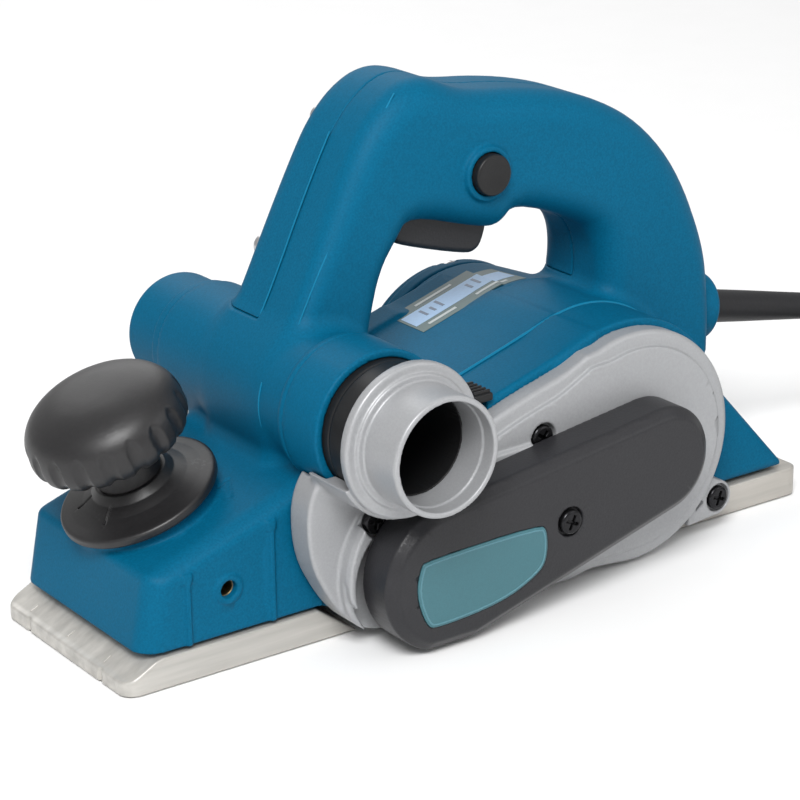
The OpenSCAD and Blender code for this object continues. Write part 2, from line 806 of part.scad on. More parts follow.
module drum_bearings() color(steel) union() {
    ring(drum_x, drum_z, drive_y + 1.2, drive_y + 1.2 + 6, bearing_r, bearing_bore_r);
    ring(drum_x, drum_z, 42, 49, bearing_r, bearing_bore_r);
}

// ---------- belt drive and motor ----------

module belt_line(grow) { polygon(drive_line(drum_pulley_r + grow, motor_pulley_r + grow)); }

module drive_belt() color([0.1, 0.1, 0.1]) difference() {
    across(pulley_far_y + 0.6, pulley_near_y - 0.6) belt_line(run_gap + belt_t);
    across(pulley_far_y, pulley_near_y) belt_line(run_gap + 0.05);
}

module motor_pulley() color(charcoal) difference() {
    union() {
        bar(motor_x, motor_z, pulley_far_y, pulley_near_y, motor_pulley_r);
        bar(motor_x, motor_z, pulley_near_y, -50, 7.4);
    }
    bar(motor_x, motor_z, -75, -45, shaft_r);
}

module motor_pulley_nut() color(steel) difference() {
    translate([motor_x, pulley_far_y, motor_z]) rotate([90, 0, 0]) cylinder(h = 2, r = 8, $fn = 6);
    bar(motor_x, motor_z, -75, -45, shaft_r);
}

module armature_shaft() color(steel) bar(motor_x, motor_z, -71, 58, shaft_r);

module armature_core() color(steel) difference() {
    bar(motor_x, motor_z, -4, 34, 21);
    bar(motor_x, motor_z, -5, 35, shaft_r);
    for (a = [0:30:330]) translate([motor_x, 0, motor_z]) rotate([0, a, 0]) {
        translate([-0.8, -5, 15]) cube([1.6, 45, 8]);
    }
}

module armature_windings() color(copper) union() {
    for (y = [-12, 34.05]) difference() {
        bar(motor_x, motor_z, y, y + 7.9, 18);
        bar(motor_x, motor_z, y - 1, y + 9, shaft_r);
    }
}

module commutator() color(copper) difference() {
    bar(motor_x, motor_z, 42, 50.4, 12);
    bar(motor_x, motor_z, 41, 52, shaft_r);
    for (a = [0:15:345]) translate([motor_x, 0, motor_z]) rotate([0, a, 0])
        translate([-0.25, 43, 11.4]) cube([0.5, 8, 2]);
}

module fan() color([0.2, 0.2, 0.22]) difference() {
    union() {
        bar(motor_x, motor_z, -27.5, -25.5, 29);
        bar(motor_x, motor_z, -27.5, -14, 9);
        for (a = [0:30:330]) translate([motor_x, 0, motor_z]) rotate([0, a, 0])
            translate([-0.8, -25.6, 11]) cube([1.6, 10, 17]);
    }
    bar(motor_x, motor_z, -40, 0, shaft_r);
}

module motor_bearings() color(steel) union() {
    ring(motor_x, motor_z, drive_y + 1.2, drive_y + 1.2 + bearing_w - 0.4, bearing_r, bearing_bore_r);
    ring(motor_x, motor_z, 51.3, 58.3, bearing_r, bearing_bore_r);
}

module stator_core() color(steel) difference() {
    bar(motor_x, motor_z, -4, 36, stator_r);
    bar(motor_x, motor_z, -5, 37, 21.6);
    for (s = [-1, 1]) translate([motor_x + s * 22 - 3, -5, motor_z - 12]) cube([6, 42, 24]);
}

module stator_coils() color(copper) union() {
    for (y = [-9, 36.05]) difference() {
        bar(motor_x, motor_z, y, y + 4.9, 27);
        bar(motor_x, motor_z, y - 1, y + 8, 22);
    }
    for (s = [-1, 1]) translate([motor_x + s * 23.4 - 1.3, -4.2, motor_z - 11.5]) cube([2.6, 40.4, 23]);
}

module brush_holders() color([0.75, 0.6, 0.3]) union() {
    for (s = [-1, 1]) difference() {
        translate([motor_x + (s > 0 ? 14 : -32), 43, motor_z - 4.5]) cube([18, 7, 9]);
        translate([motor_x + (s > 0 ? 13 : -33), 44, motor_z - 3.2]) cube([20, 5, 6.4]);
    }
}

module carbon_brushes() color([0.15, 0.15, 0.15]) union() {
    for (s = [-1, 1]) translate([motor_x + (s > 0 ? 12.3 : -24.3), 44.1, motor_z - 3.1]) cube([12, 4.8, 6.2]);
}

module brush_caps() color([0.12, 0.12, 0.12]) union() {
    for (s = [-1, 1]) translate([motor_x + (s > 0 ? 25 : -32), 44.2, motor_z - 3]) cube([7, 4.6, 6]);
}

// ---------- switch gear in the handle ----------

module switch_body() color([0.14, 0.14, 0.15]) union() {
    translate([-67, -8.5, 138.5]) cube([19, 17, 16]);
    translate([-48.01, -8.5, 146]) cube([18, 17, 8.5]);
    translate([-60, -3, 137]) cube([8, 6, 2]);
}

module trigger() color(charcoal) difference() {
    across(-trigger_half_w, trigger_half_w)
        polygon([
            [-68.5, 133.5], [-69.5, 121], [-66, 118.2], [-38, 110], [-34, 110.6], [-31.5, 113],
            [-29.2, 120], [-29.2, 130.4], [-40, 131.5], [-60, 134.5]]);
    across(-trigger_half_w + 2, trigger_half_w - 2)
        polygon([[-60, 136], [-60, 120.5], [-38, 115], [-34, 117], [-34, 136]]);
    bar(trigger_pivot[0], trigger_pivot[1], -20, 20, 1.6);
}

module trigger_spring() color(steel) translate([-56, 0, 120.3]) difference() {
    cylinder(h = 16.7, r = 3);
    translate([0, 0, -1]) cylinder(h = 20, r = 2);
}

module lock_button() color(charcoal) difference() {
    bar(lock_x, lock_z, -25.6, -12.5, lock_r);
    // Dished face
    translate([lock_x, -25.6 - 19, lock_z]) sphere(r = 20, $fn = 96);
    bar(lock_x, lock_z, -16, -11, 4.4);
}

module lock_spring() color(steel) ring(lock_x, lock_z, -12.95, -8.5, 4.1, 3);

// ---------- chip side selector ----------

// Finger tab that slides across the ramp, and the vane it moves behind the duct
module chip_selector() color(charcoal) union() {
    translate([-67, -51, 73.6]) cube([8, 14, 3]);
    for (y = [-50:2.3:-39]) translate([-66.5, y, 76.5]) cube([7, 1.1, 1]);
    translate([-65, -46, 64]) cube([4, 6, 10]);
    translate([-66, -47, 62]) cube([6, 8, 5]);
}

// ---------- mains lead ----------

module cord_guard() color(charcoal) translate(guard_start) rotate([0, 90 + atan(guard_slope), 0])
    union() {
        translate([0, 0, -3]) cylinder(h = 3.01, r = 6.5);
        cylinder(h = guard_len, r1 = 6.4, r2 = 5);
    }

module cord_lead() color([0.09, 0.09, 0.1]) tube(lead_route, cord_r, 10);

module cord_tail() color([0.09, 0.09, 0.1]) tube(tail_route, cord_r, 10);

module cord_coil() color([0.09, 0.09, 0.1]) translate([coil_x, coil_y, 0])
    rotate_extrude() polygon([
        [coil_mid_r - 10.6, 0], [coil_mid_r + 10.8, 0], [coil_mid_r + 10.8, cord_d * 2],
        [coil_mid_r + 3.6, cord_d * coil_layers], [coil_mid_r - 3.6, cord_d * coil_layers],
        [coil_mid_r - 10.6, cord_d * 2]]);

module cord_tie() color([0.1, 0.1, 0.1]) translate([coil_x + coil_mid_r, coil_y, 0]) difference() {
    translate([-12.6, -3, 0]) cube([25.4, 6, cord_d * coil_layers + 1.2]);
    translate([-10.9, -4, -1]) cube([21.8, 8, cord_d * coil_layers + 1]);
}

module plug() color([0.1, 0.1, 0.1]) translate([plug_x, plug_y, plug_z]) rotate([0, -90, 0]) union() {
    cylinder(h = 8, r = 6.5);
    translate([0, 0, 7.9]) cylinder(h = 10, r1 = 8, r2 = 14);
    translate([0, 0, 17.8]) cylinder(h = 16, r = 15);
    for (s = [-1, 1]) translate([0, s * 9.5, 33.7]) cylinder(h = 19, r = 2.3);
}

main_housing();
front_housing();
duct_housing();
handle_left();
drive_frame();
handle_cover();
duct_cap();
motor_cap();
side_cover();
duct_sleeve();
belt_cover();
belt_cover_badge();
belt_cover_screw();
side_cover_screws();
handle_screws();
motor_cap_screws();
rear_base();
base_screws();
rating_label();
fence_insert();
stator_core();
stator_coils();
brush_holders();
carbon_brushes();
brush_caps();
motor_bearings();
drum_bearings();
switch_body();
cord_guard();
drive_belt();
shoe_spring();
trigger_spring();
lock_spring();
cord_lead();
cord_coil();
cord_tail();
cord_tie();
plug();
drum_body();
drum_blades();
blade_clamps();
clamp_bolts();
drum_shaft();
drum_pulley();
drum_pulley_nut();
armature_shaft();
armature_core();
armature_windings();
commutator();
fan();
motor_pulley();
motor_pulley_nut();
front_shoe();
shoe_post();
depth_knob();
scale_ring();
depth_screw();
trigger();
lock_button();
chip_selector();
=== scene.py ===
"""Finished model of a corded electric hand planer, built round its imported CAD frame.

Shapes are worked in millimetres and written to meshes in metres. The front of the tool points
to -X, its belt side to -Y and up is +Z. The origin is the middle of the rear sole.
"""

from __future__ import annotations

import logging
import math
from dataclasses import dataclass, field
from enum import Enum
from typing import Callable, Sequence

import bpy
import numpy as np
import openvdb
from mathutils import Euler, Matrix, Vector


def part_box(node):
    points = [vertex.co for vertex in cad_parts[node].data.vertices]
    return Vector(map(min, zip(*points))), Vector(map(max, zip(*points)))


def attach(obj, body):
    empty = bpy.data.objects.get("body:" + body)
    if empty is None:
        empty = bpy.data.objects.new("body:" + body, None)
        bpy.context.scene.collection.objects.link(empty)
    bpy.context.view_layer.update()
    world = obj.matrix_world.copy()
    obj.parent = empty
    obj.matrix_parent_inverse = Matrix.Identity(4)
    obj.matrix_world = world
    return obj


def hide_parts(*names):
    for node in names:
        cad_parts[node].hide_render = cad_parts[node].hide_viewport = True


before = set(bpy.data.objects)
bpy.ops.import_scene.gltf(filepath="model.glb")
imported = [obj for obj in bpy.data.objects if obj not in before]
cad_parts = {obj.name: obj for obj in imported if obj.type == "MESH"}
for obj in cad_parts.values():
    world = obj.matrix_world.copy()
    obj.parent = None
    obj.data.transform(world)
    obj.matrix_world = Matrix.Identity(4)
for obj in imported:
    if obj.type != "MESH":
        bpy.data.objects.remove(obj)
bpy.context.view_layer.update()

logging.basicConfig(level=logging.INFO, format="%(name)s: %(message)s")
log = logging.getLogger("planer")

MM = 0.001
FAR = 1000.0
Point2 = tuple[float, float]
Point3 = tuple[float, float, float]
Patch = tuple[float, float, float, float]
Rule = Callable[[np.ndarray, np.ndarray, np.ndarray], np.ndarray]


# ---------------------------------------------------------------- driving sizes, in mm

SOLE_W = 82.0
NOSE_X = -198.0
TAIL_X = 92.0
BASE_T = 11.0
DRUM = (-97.0, 23.5)
MOTOR = (-1.0, 44.5)
DUCT = (-109.0, 78.0)
COVER_END = (-92.5, 25.5)
FLANGE_Y = -71.0
BARREL_R = 44.7
RAMP_FILLET = 1.4
INSERT = (-158.4, 28.0)
COVER_SCREW = (-44.0, 33.6)
SCREW_SEATS = ((-43.0, -54.9, 58.5), (-112.0, -54.9, 45.5), (42.0, -49.6, 13.9))
SCREW_HEAD = 3.0
CAP_SCREW_R = 37.5
CAP_SCREW_ANGLES = (20.0, 90.0, 160.0)
CAP_R = 41.5
SIDE_Y = 40.5
FRAME_Y = -26.0
DRIVE_Y = -49.0
COVER_Y = -58.0
BELT_COVER_Y = -74.0
HOUSING_Z = 12.4
HALF_W = 21.0
KNOB_LEAN = math.radians(23.0)
SEAT = (-166.0, 49.0)
DECK = (-186.2, 37.5)
DECK_SLOPE = math.radians(18.5)
LOCK = (-39.0, 142.0)
CORD_R = 3.6


# ---------------------------------------------------------------- shaping toolkit


def soft_and(a: np.ndarray, b: np.ndarray, r: float | np.ndarray) -> np.ndarray:
    """Distance field of what two solids share, its edge rounded to radius r."""
    if np.isscalar(r) and r <= 0:
        return np.maximum(a, b)
    corner = np.hypot(np.maximum(a + r, 0), np.maximum(b + r, 0)) - r
    return corner + np.minimum(np.maximum(a, b) + r, 0)


def soft_or(a: np.ndarray, b: np.ndarray, r: float | np.ndarray) -> np.ndarray:
    """Distance field of two solids joined, with a fillet of radius r where they meet."""
    return -soft_and(-a, -b, r)


def outline_distance(x: np.ndarray, z: np.ndarray, outline: Sequence[Point2]) -> np.ndarray:
    """Signed distance in the XZ plane to a closed outline, negative inside.

    Args:
        x: X of the sample points.
        z: Z of the sample points.
        outline: Corners of the outline, in order.

    Returns:
        The distances, in the shape that x and z broadcast to.
    """
    shape = np.broadcast_shapes(x.shape, z.shape)
    nearest = np.full(shape, FAR**2, np.float32)
    inside = np.zeros(shape, bool)
    for (x0, z0), (x1, z1) in zip(outline, [*outline[1:], outline[0]]):
        ex, ez = x1 - x0, z1 - z0
        length = ex * ex + ez * ez
        if length < 1e-9:
            continue
        t = np.clip(((x - x0) * ex + (z - z0) * ez) / length, 0, 1)
        nearest = np.minimum(nearest, (x - x0 - ex * t) ** 2 + (z - z0 - ez * t) ** 2)
        if abs(ez) > 1e-9:
            inside ^= ((z >= z0) != (z >= z1)) & (x < x0 + (z - z0) * ex / ez)
    return np.where(inside, -1, 1) * np.sqrt(nearest)


def eased(points: Sequence[Point2], passes: int = 2, closed: bool = True) -> list[Point2]:
    """Outline with its corners cut off again and again, which rounds them.

    Args:
        points: Corners of the outline.
        passes: How many times each corner is cut.
        closed: Whether the last corner joins the first.

    Returns:
        The rounded outline.
    """
    line = [tuple(map(float, p)) for p in points]
    for _ in range(passes):
        pairs = list(zip(line, [*line[1:], line[0]])) if closed else list(zip(line, line[1:]))
        out = [] if closed else [line[0]]
        for (ax, az), (bx, bz) in pairs:
            out.append((0.75 * ax + 0.25 * bx, 0.75 * az + 0.25 * bz))
            out.append((0.25 * ax + 0.75 * bx, 0.25 * az + 0.75 * bz))
        line = out if closed else [*out, line[-1]]
    return line


def arc(centre: Point2, r: float, start: float, end: float, count: int) -> list[Point2]:
    """Points of an arc in the XZ plane, its angles in degrees."""
    angles = np.radians(np.linspace(start, end, count + 1))
    return [(centre[0] + r * math.cos(a), centre[1] + r * math.sin(a)) for a in angles]


def polar(centre: Point2, r: float, angle: float) -> Point2:
    """Point in the XZ plane at a radius and an angle, in degrees, from a centre."""
    return (centre[0] + r * math.cos(math.radians(angle)), centre[1] + r * math.sin(math.radians(angle)))


def drive_line(r_drum: float, r_motor: float) -> list[Point2]:
    """Line drawn tight round two circles on the drum's and the motor's axes."""
    dx, dz = MOTOR[0] - DRUM[0], MOTOR[1] - DRUM[1]
    lean = math.degrees(math.atan2(dz, dx))
    cone = math.degrees(math.asin((r_drum - r_motor) / math.hypot(dx, dz)))
    return arc(DRUM, r_drum, lean + 90 - cone, lean + 270 + cone, 40) + arc(
        MOTOR, r_motor, lean - 90 + cone, lean + 90 - cone, 30
    )


def cover_line(r_end: float, r_motor: float) -> list[Point2]:
    """Line drawn tight round the belt cover's broad end and the motor's axis."""
    dx, dz = MOTOR[0] - COVER_END[0], MOTOR[1] - COVER_END[1]
    lean = math.degrees(math.atan2(dz, dx))
    cone = math.degrees(math.asin((r_end - r_motor) / math.hypot(dx, dz)))
    return arc(COVER_END, r_end, lean + 90 - cone, lean + 270 + cone, 40) + arc(
        MOTOR, r_motor, lean - 90 + cone, lean + 90 - cone, 30
    )


@dataclass(frozen=True)
class Solid:
    """A solid by its distance rule, with the corners of the box that holds it."""

    rule: Rule
    low: Point3
    high: Point3


def bar(centre: Point2, y0: float, y1: float, r: float, edge: float = 0.8) -> Solid:
    """Round bar along Y with its rims rounded."""
    cx, cz = centre

    def rule(x: np.ndarray, y: np.ndarray, z: np.ndarray) -> np.ndarray:
        """Distance to the round bar."""
        return soft_and(np.hypot(x - cx, z - cz) - r, np.maximum(y0 - y, y - y1), edge)

    return Solid(rule, (cx - r, y0, cz - r), (cx + r, y1, cz + r))


def cone(centre: Point2, y0: float, y1: float, r0: float, r1: float, edge: float = 0.8) -> Solid:
    """Round bar along Y whose radius runs from r0 at y0 to r1 at y1."""
    cx, cz = centre
    slope = (r1 - r0) / (y1 - y0)
    lean = 1 / math.hypot(1, slope)
    r = max(r0, r1)

    def rule(x: np.ndarray, y: np.ndarray, z: np.ndarray) -> np.ndarray:
        """Distance to the tapered bar."""
        wall = (np.hypot(x - cx, z - cz) - r0 - slope * (y - y0)) * lean
        return soft_and(wall, np.maximum(y0 - y, y - y1), edge)

    return Solid(rule, (cx - r, y0, cz - r), (cx + r, y1, cz + r))


def prism(outline: Sequence[Point2], y0: float, y1: float, edge: float = 0.8) -> Solid:
    """Outline in XZ run along Y with its edges rounded."""
    xs, zs = zip(*outline)

    def rule(x: np.ndarray, y: np.ndarray, z: np.ndarray) -> np.ndarray:
        """Distance to the run outline."""
        return soft_and(outline_distance(x, z, outline), np.maximum(y0 - y, y - y1), edge)

    return Solid(rule, (min(xs), y0, min(zs)), (max(xs), y1, max(zs)))


def slab(low: Point3, high: Point3, edge: float = 0.5) -> Solid:
    """Box along the axes with rounded edges."""
    mid = [(a + b) / 2 for a, b in zip(low, high)]
    half = [(b - a) / 2 for a, b in zip(low, high)]

    def rule(x: np.ndarray, y: np.ndarray, z: np.ndarray) -> np.ndarray:
        """Distance to the box."""
        q = [abs(p - m) - h + edge for p, m, h in zip((x, y, z), mid, half)]
        out = np.sqrt(sum(np.maximum(v, 0) ** 2 for v in q))
        return out + np.minimum(np.maximum(np.maximum(q[0], q[1]), q[2]), 0) - edge

    return Solid(rule, low, high)


def rod(a: Point3, b: Point3, ra: float, rb: float | None = None, edge: float = 0.6) -> Solid:
    """Round rod between two points, its radius running from ra to rb."""
    rb = ra if rb is None else rb
    start, end = np.array(a, float), np.array(b, float)
    length = float(np.linalg.norm(end - start))
    way = (end - start) / length
    r = max(ra, rb)

    def rule(x: np.ndarray, y: np.ndarray, z: np.ndarray) -> np.ndarray:
        """Distance to the rod."""
        px, py, pz = x - start[0], y - start[1], z - start[2]
        t = px * way[0] + py * way[1] + pz * way[2]
        off = np.sqrt(np.maximum(px * px + py * py + pz * pz - t * t, 0))
        wall = off - ra - (rb - ra) * t / length
        return soft_and(wall, np.maximum(-t, t - length), edge)

    low, high = np.minimum(start, end) - r, np.maximum(start, end) + r
    return Solid(rule, tuple(low), tuple(high))


def ball(centre: Point3, r: float) -> Solid:
    """Round ball."""
    cx, cy, cz = centre

    def rule(x: np.ndarray, y: np.ndarray, z: np.ndarray) -> np.ndarray:
        """Distance to the ball."""
        return np.sqrt((x - cx) ** 2 + (y - cy) ** 2 + (z - cz) ** 2) - r

    return Solid(rule, (cx - r, cy - r, cz - r), (cx + r, cy + r, cz + r))


def over(solid: Solid, floor: float) -> Solid:
    """Part of a solid that lies over a height."""
    return Solid(lambda x, y, z: np.maximum(solid.rule(x, y, z), floor - z), solid.low, solid.high)


def on_deck(h: float, side: float = 0.0, forward: float = 0.0) -> Point3:
    """Point at height h on the knob's leaning axis, moved sideways and up the deck."""
    up = (-math.sin(KNOB_LEAN), math.cos(KNOB_LEAN))
    along = (-math.cos(KNOB_LEAN), -math.sin(KNOB_LEAN))
    return (
        SEAT[0] + h * up[0] + forward * along[0],
        side,
        SEAT[1] + h * up[1] + forward * along[1],
    )


def knob_bar(h0: float, h1: float, r0: float, r1: float | None = None, edge: float = 0.6) -> Solid:
    """Round bar on the knob's leaning axis, from height h0 to h1."""
    return rod(on_deck(h0), on_deck(h1), r0, r1, edge)


class Workpiece:
    """A box of sample points on which one piece is shaped, negative inside it."""

    def __init__(self, low: Point3, high: Point3, step: float) -> None:
        """Lay out the sample points.

        Args:
            low: Lowest corner of the box.
            high: Highest corner of the box.
            step: Distance between sample points.
        """
        self.step = step
        self.low = np.array(low, float)
        self.axes = [
            (a + step * np.arange(int(math.ceil((b - a) / step)) + 1)).astype(np.float32)
            for a, b in zip(low, high)
        ]
        self.d = np.full([len(a) for a in self.axes], FAR, np.float32)

    def _window(self, solid: Solid, pad: float) -> tuple[tuple[slice, ...], list[np.ndarray]]:
        """Sample points round a solid, as slices and as broadcastable coordinates."""
        cut, points = [], []
        for i, axis in enumerate(self.axes):
            first = max(int(np.searchsorted(axis, solid.low[i] - pad)) - 1, 0)
            last = min(int(np.searchsorted(axis, solid.high[i] + pad)) + 1, len(axis))
            cut.append(slice(first, last))
            shape = [1, 1, 1]
            shape[i] = last - first
            points.append(axis[first:last].reshape(shape))
        return tuple(cut), points

    def join(self, solid: Solid, fillet: float = 0.0) -> Workpiece:
        """Add a solid, with a fillet where it meets the piece."""
        win, points = self._window(solid, fillet + 5 * self.step)
        self.d[win] = soft_or(self.d[win], solid.rule(*points), fillet)
        return self

    def cut(self, solid: Solid, edge: float = 0.0) -> Workpiece:
        """Take a solid away, with the new edges rounded."""
        win, points = self._window(solid, edge + 5 * self.step)
        self.d[win] = soft_and(self.d[win], -solid.rule(*points), edge)
        return self

    def trim(self, rule: Rule, edge: float = 0.0) -> Workpiece:
        """Keep only what lies on the negative side of a rule."""
        grid = [a.reshape([-1 if i == k else 1 for k in range(3)]) for i, a in enumerate(self.axes)]
        self.d = soft_and(self.d, rule(*grid), edge).astype(np.float32)
        return self

    def copy(self) -> Workpiece:
        """Second workpiece with the same shape so far."""
        other = object.__new__(Workpiece)
        other.step, other.low, other.axes, other.d = self.step, self.low, self.axes, self.d.copy()
        return other

    def _sample(self, p: np.ndarray) -> np.ndarray:
        """Distances at points given in steps from the low corner."""
        base = np.clip(np.floor(p).astype(int), 0, np.array(self.d.shape) - 2)
        f = p - base
        total = np.zeros(len(p))
        for dx in (0, 1):
            for dy in (0, 1):
                for dz in (0, 1):
                    weight = (
                        (f[:, 0] if dx else 1 - f[:, 0])
                        * (f[:, 1] if dy else 1 - f[:, 1])
                        * (f[:, 2] if dz else 1 - f[:, 2])
                    )
                    total += weight * self.d[base[:, 0] + dx, base[:, 1] + dy, base[:, 2] + dz]
        return total

    def _slope(self, p: np.ndarray) -> np.ndarray:
        """Outward direction at points given in steps from the low corner."""
        reach = 0.6
        out = np.stack(
            [self._sample(p + reach * axis) - self._sample(p - reach * axis) for axis in np.eye(3)],
            axis=1,
        )
        return out / np.maximum(np.linalg.norm(out, axis=1, keepdims=True), 1e-9)

    def finish(self, name: str, merge: float = 0.0) -> bpy.types.Object:
        """Turn the worked shape into a closed mesh object with its own smooth shading.

        Args:
            name: Name of the new object.
            merge: How freely faces on flat stretches are merged, from 0 to 1.

        Returns:
            The new object, at the origin.
        """
        limit = 3.0
        grid = openvdb.FloatGrid(limit)
        grid.copyFromArray(np.clip(self.d / self.step, -limit, limit).astype(np.float32))
        points, triangles, quads = grid.convertToPolygons(0.0, merge)
        points = points.astype(float)
        slope = self._slope(points)
        move = np.clip(self._sample(points) / self.step, -0.4, 0.4)
        points -= slope * move[:, None]
        slope = self._slope(points)
        verts = (self.low + points * self.step) * MM
        faces = [list(map(int, f)) for f in triangles] + [list(map(int, f)) for f in quads]
        corner = verts[quads[:, :3]] if len(quads) else verts[triangles]
        index = quads[:, 0] if len(quads) else triangles[:, 0]
        facing = np.cross(corner[:, 1] - corner[:, 0], corner[:, 2] - corner[:, 0])
        if float((facing * slope[index]).sum()) < 0:
            faces = [f[::-1] for f in faces]
        mesh = bpy.data.meshes.new(name)
        mesh.from_pydata(verts.tolist(), [], faces)
        mesh.validate()
        mesh.shade_smooth()
        if len(mesh.vertices) == len(slope):
            mesh.normals_split_custom_set_from_vertices(slope.tolist())
        return place(name, mesh)


def place(name: str, mesh: bpy.types.Mesh) -> bpy.types.Object:
    """Object for a mesh, linked into the scene."""
    obj = bpy.data.objects.new(name, mesh)
    bpy.context.scene.collection.objects.link(obj)
    return obj


# ---------------------------------------------------------------- materials


class Socket(Enum):
    """Socket kinds that node groups use."""

    NUMBER = "NodeSocketFloat"
    COLOUR = "NodeSocketColor"
    VECTOR = "NodeSocketVector"


def new_group(name: str, inputs: Sequence[tuple], outputs: Sequence[tuple]) -> bpy.types.NodeTree:
    """Empty shader node group with named sockets.

    Args:
        name: Name of the group.
        inputs: Name, kind and starting value of each input.
        outputs: Name and kind of each output.

    Returns:
        The group, with its input and output nodes in place.
    """
    tree = bpy.data.node_groups.new(name, "ShaderNodeTree")
    for label, kind, value in inputs:
        socket = tree.interface.new_socket(name=label, in_out="INPUT", socket_type=kind.value)
        if value is not None:
            socket.default_value = value
    for label, kind in outputs:
        tree.interface.new_socket(name=label, in_out="OUTPUT", socket_type=kind.value)
    tree.nodes.new("NodeGroupInput").name = "in"
    tree.nodes.new("NodeGroupOutput").name = "out"
    return tree


def maths(tree: bpy.types.NodeTree, operation: str, a: object, b: object) -> bpy.types.NodeSocket:
    """Math node whose two inputs are sockets or plain numbers."""
    node = tree.nodes.new("ShaderNodeMath")
    node.operation = operation
    for socket, value in zip(node.inputs, (a, b)):
        if isinstance(value, bpy.types.NodeSocket):
            tree.links.new(value, socket)
        elif value is not None:
            socket.default_value = value
    return node.outputs[0]


def remap(
    tree: bpy.types.NodeTree, value: object, low: float, high: float, to_low: float, to_high: float
) -> bpy.types.NodeSocket:
    """Map Range node from one span of numbers to another, held inside the new span."""
    node = tree.nodes.new("ShaderNodeMapRange")
    tree.links.new(value, node.inputs["Value"])
    for label, number in zip(("From Min", "From Max", "To Min", "To Max"), (low, high, to_low, to_high)):
        node.inputs[label].default_value = number
    return node.outputs["Result"]


def noise(tree: bpy.types.NodeTree, vector: object, scale: object, detail: float) -> bpy.types.NodeSocket:
    """Noise node's factor at a scale."""
    node = tree.nodes.new("ShaderNodeTexNoise")
    tree.links.new(vector, node.inputs["Vector"])
    node.inputs["Detail"].default_value = detail
    if isinstance(scale, bpy.types.NodeSocket):
        tree.links.new(scale, node.inputs["Scale"])
    else:
        node.inputs["Scale"].default_value = scale
    return node.outputs["Fac"]


def speckle_group() -> bpy.types.NodeTree:
    """Fine grain of moulded or sprayed surfaces, with slow clouding under it."""
    tree = new_group(
        "fine speckle",
        [("Vector", Socket.VECTOR, None), ("Scale", Socket.NUMBER, 900.0)],
        [("Speckle", Socket.NUMBER), ("Cloud", Socket.NUMBER)],
    )
    inside, outside = tree.nodes["in"], tree.nodes["out"]
    fine = noise(tree, inside.outputs["Vector"], inside.outputs["Scale"], 2.0)
    tree.links.new(remap(tree, fine, 0.3, 0.7, 0.0, 1.0), outside.inputs["Speckle"])
    slow = noise(tree, inside.outputs["Vector"], 22.0, 3.0)
    tree.links.new(remap(tree, slow, 0.3, 0.7, 0.0, 1.0), outside.inputs["Cloud"])
    return tree


def grain_group() -> bpy.types.NodeTree:
    """Long fine lines of milled or brushed metal; the vector is stretched before it."""
    tree = new_group(
        "milled grain",
        [("Vector", Socket.VECTOR, None), ("Scale", Socket.NUMBER, 260.0)],
        [("Lines", Socket.NUMBER), ("Stain", Socket.NUMBER)],
    )
    inside, outside = tree.nodes["in"], tree.nodes["out"]
    lines = noise(tree, inside.outputs["Vector"], inside.outputs["Scale"], 4.0)
    tree.links.new(remap(tree, lines, 0.25, 0.75, 0.0, 1.0), outside.inputs["Lines"])
    blot = noise(tree, inside.outputs["Vector"], 14.0, 5.0)
    tree.links.new(remap(tree, blot, 0.58, 0.72, 0.0, 1.0), outside.inputs["Stain"])
    return tree


def wear_group() -> bpy.types.NodeTree:
    """Sparse scuffs: short thin marks scattered over a surface."""
    tree = new_group(
        "light scuffs",
        [("Vector", Socket.VECTOR, None), ("Scale", Socket.NUMBER, 60.0)],
        [("Scuff", Socket.NUMBER)],
    )
    inside, outside = tree.nodes["in"], tree.nodes["out"]
    where = noise(tree, inside.outputs["Vector"], inside.outputs["Scale"], 6.0)
    place_mask = remap(tree, where, 0.62, 0.70, 0.0, 1.0)
    fine = noise(tree, inside.outputs["Vector"], 700.0, 2.0)
    marks = remap(tree, fine, 0.55, 0.6, 0.0, 1.0)
    tree.links.new(maths(tree, "MULTIPLY", place_mask, marks), outside.inputs["Scuff"])
    return tree


GROUPS = {"speckle": speckle_group(), "grain": grain_group(), "wear": wear_group()}


class Surface(Enum):
    """How a finish is patterned."""

    MOULDED = "moulded"
    MILLED = "milled"


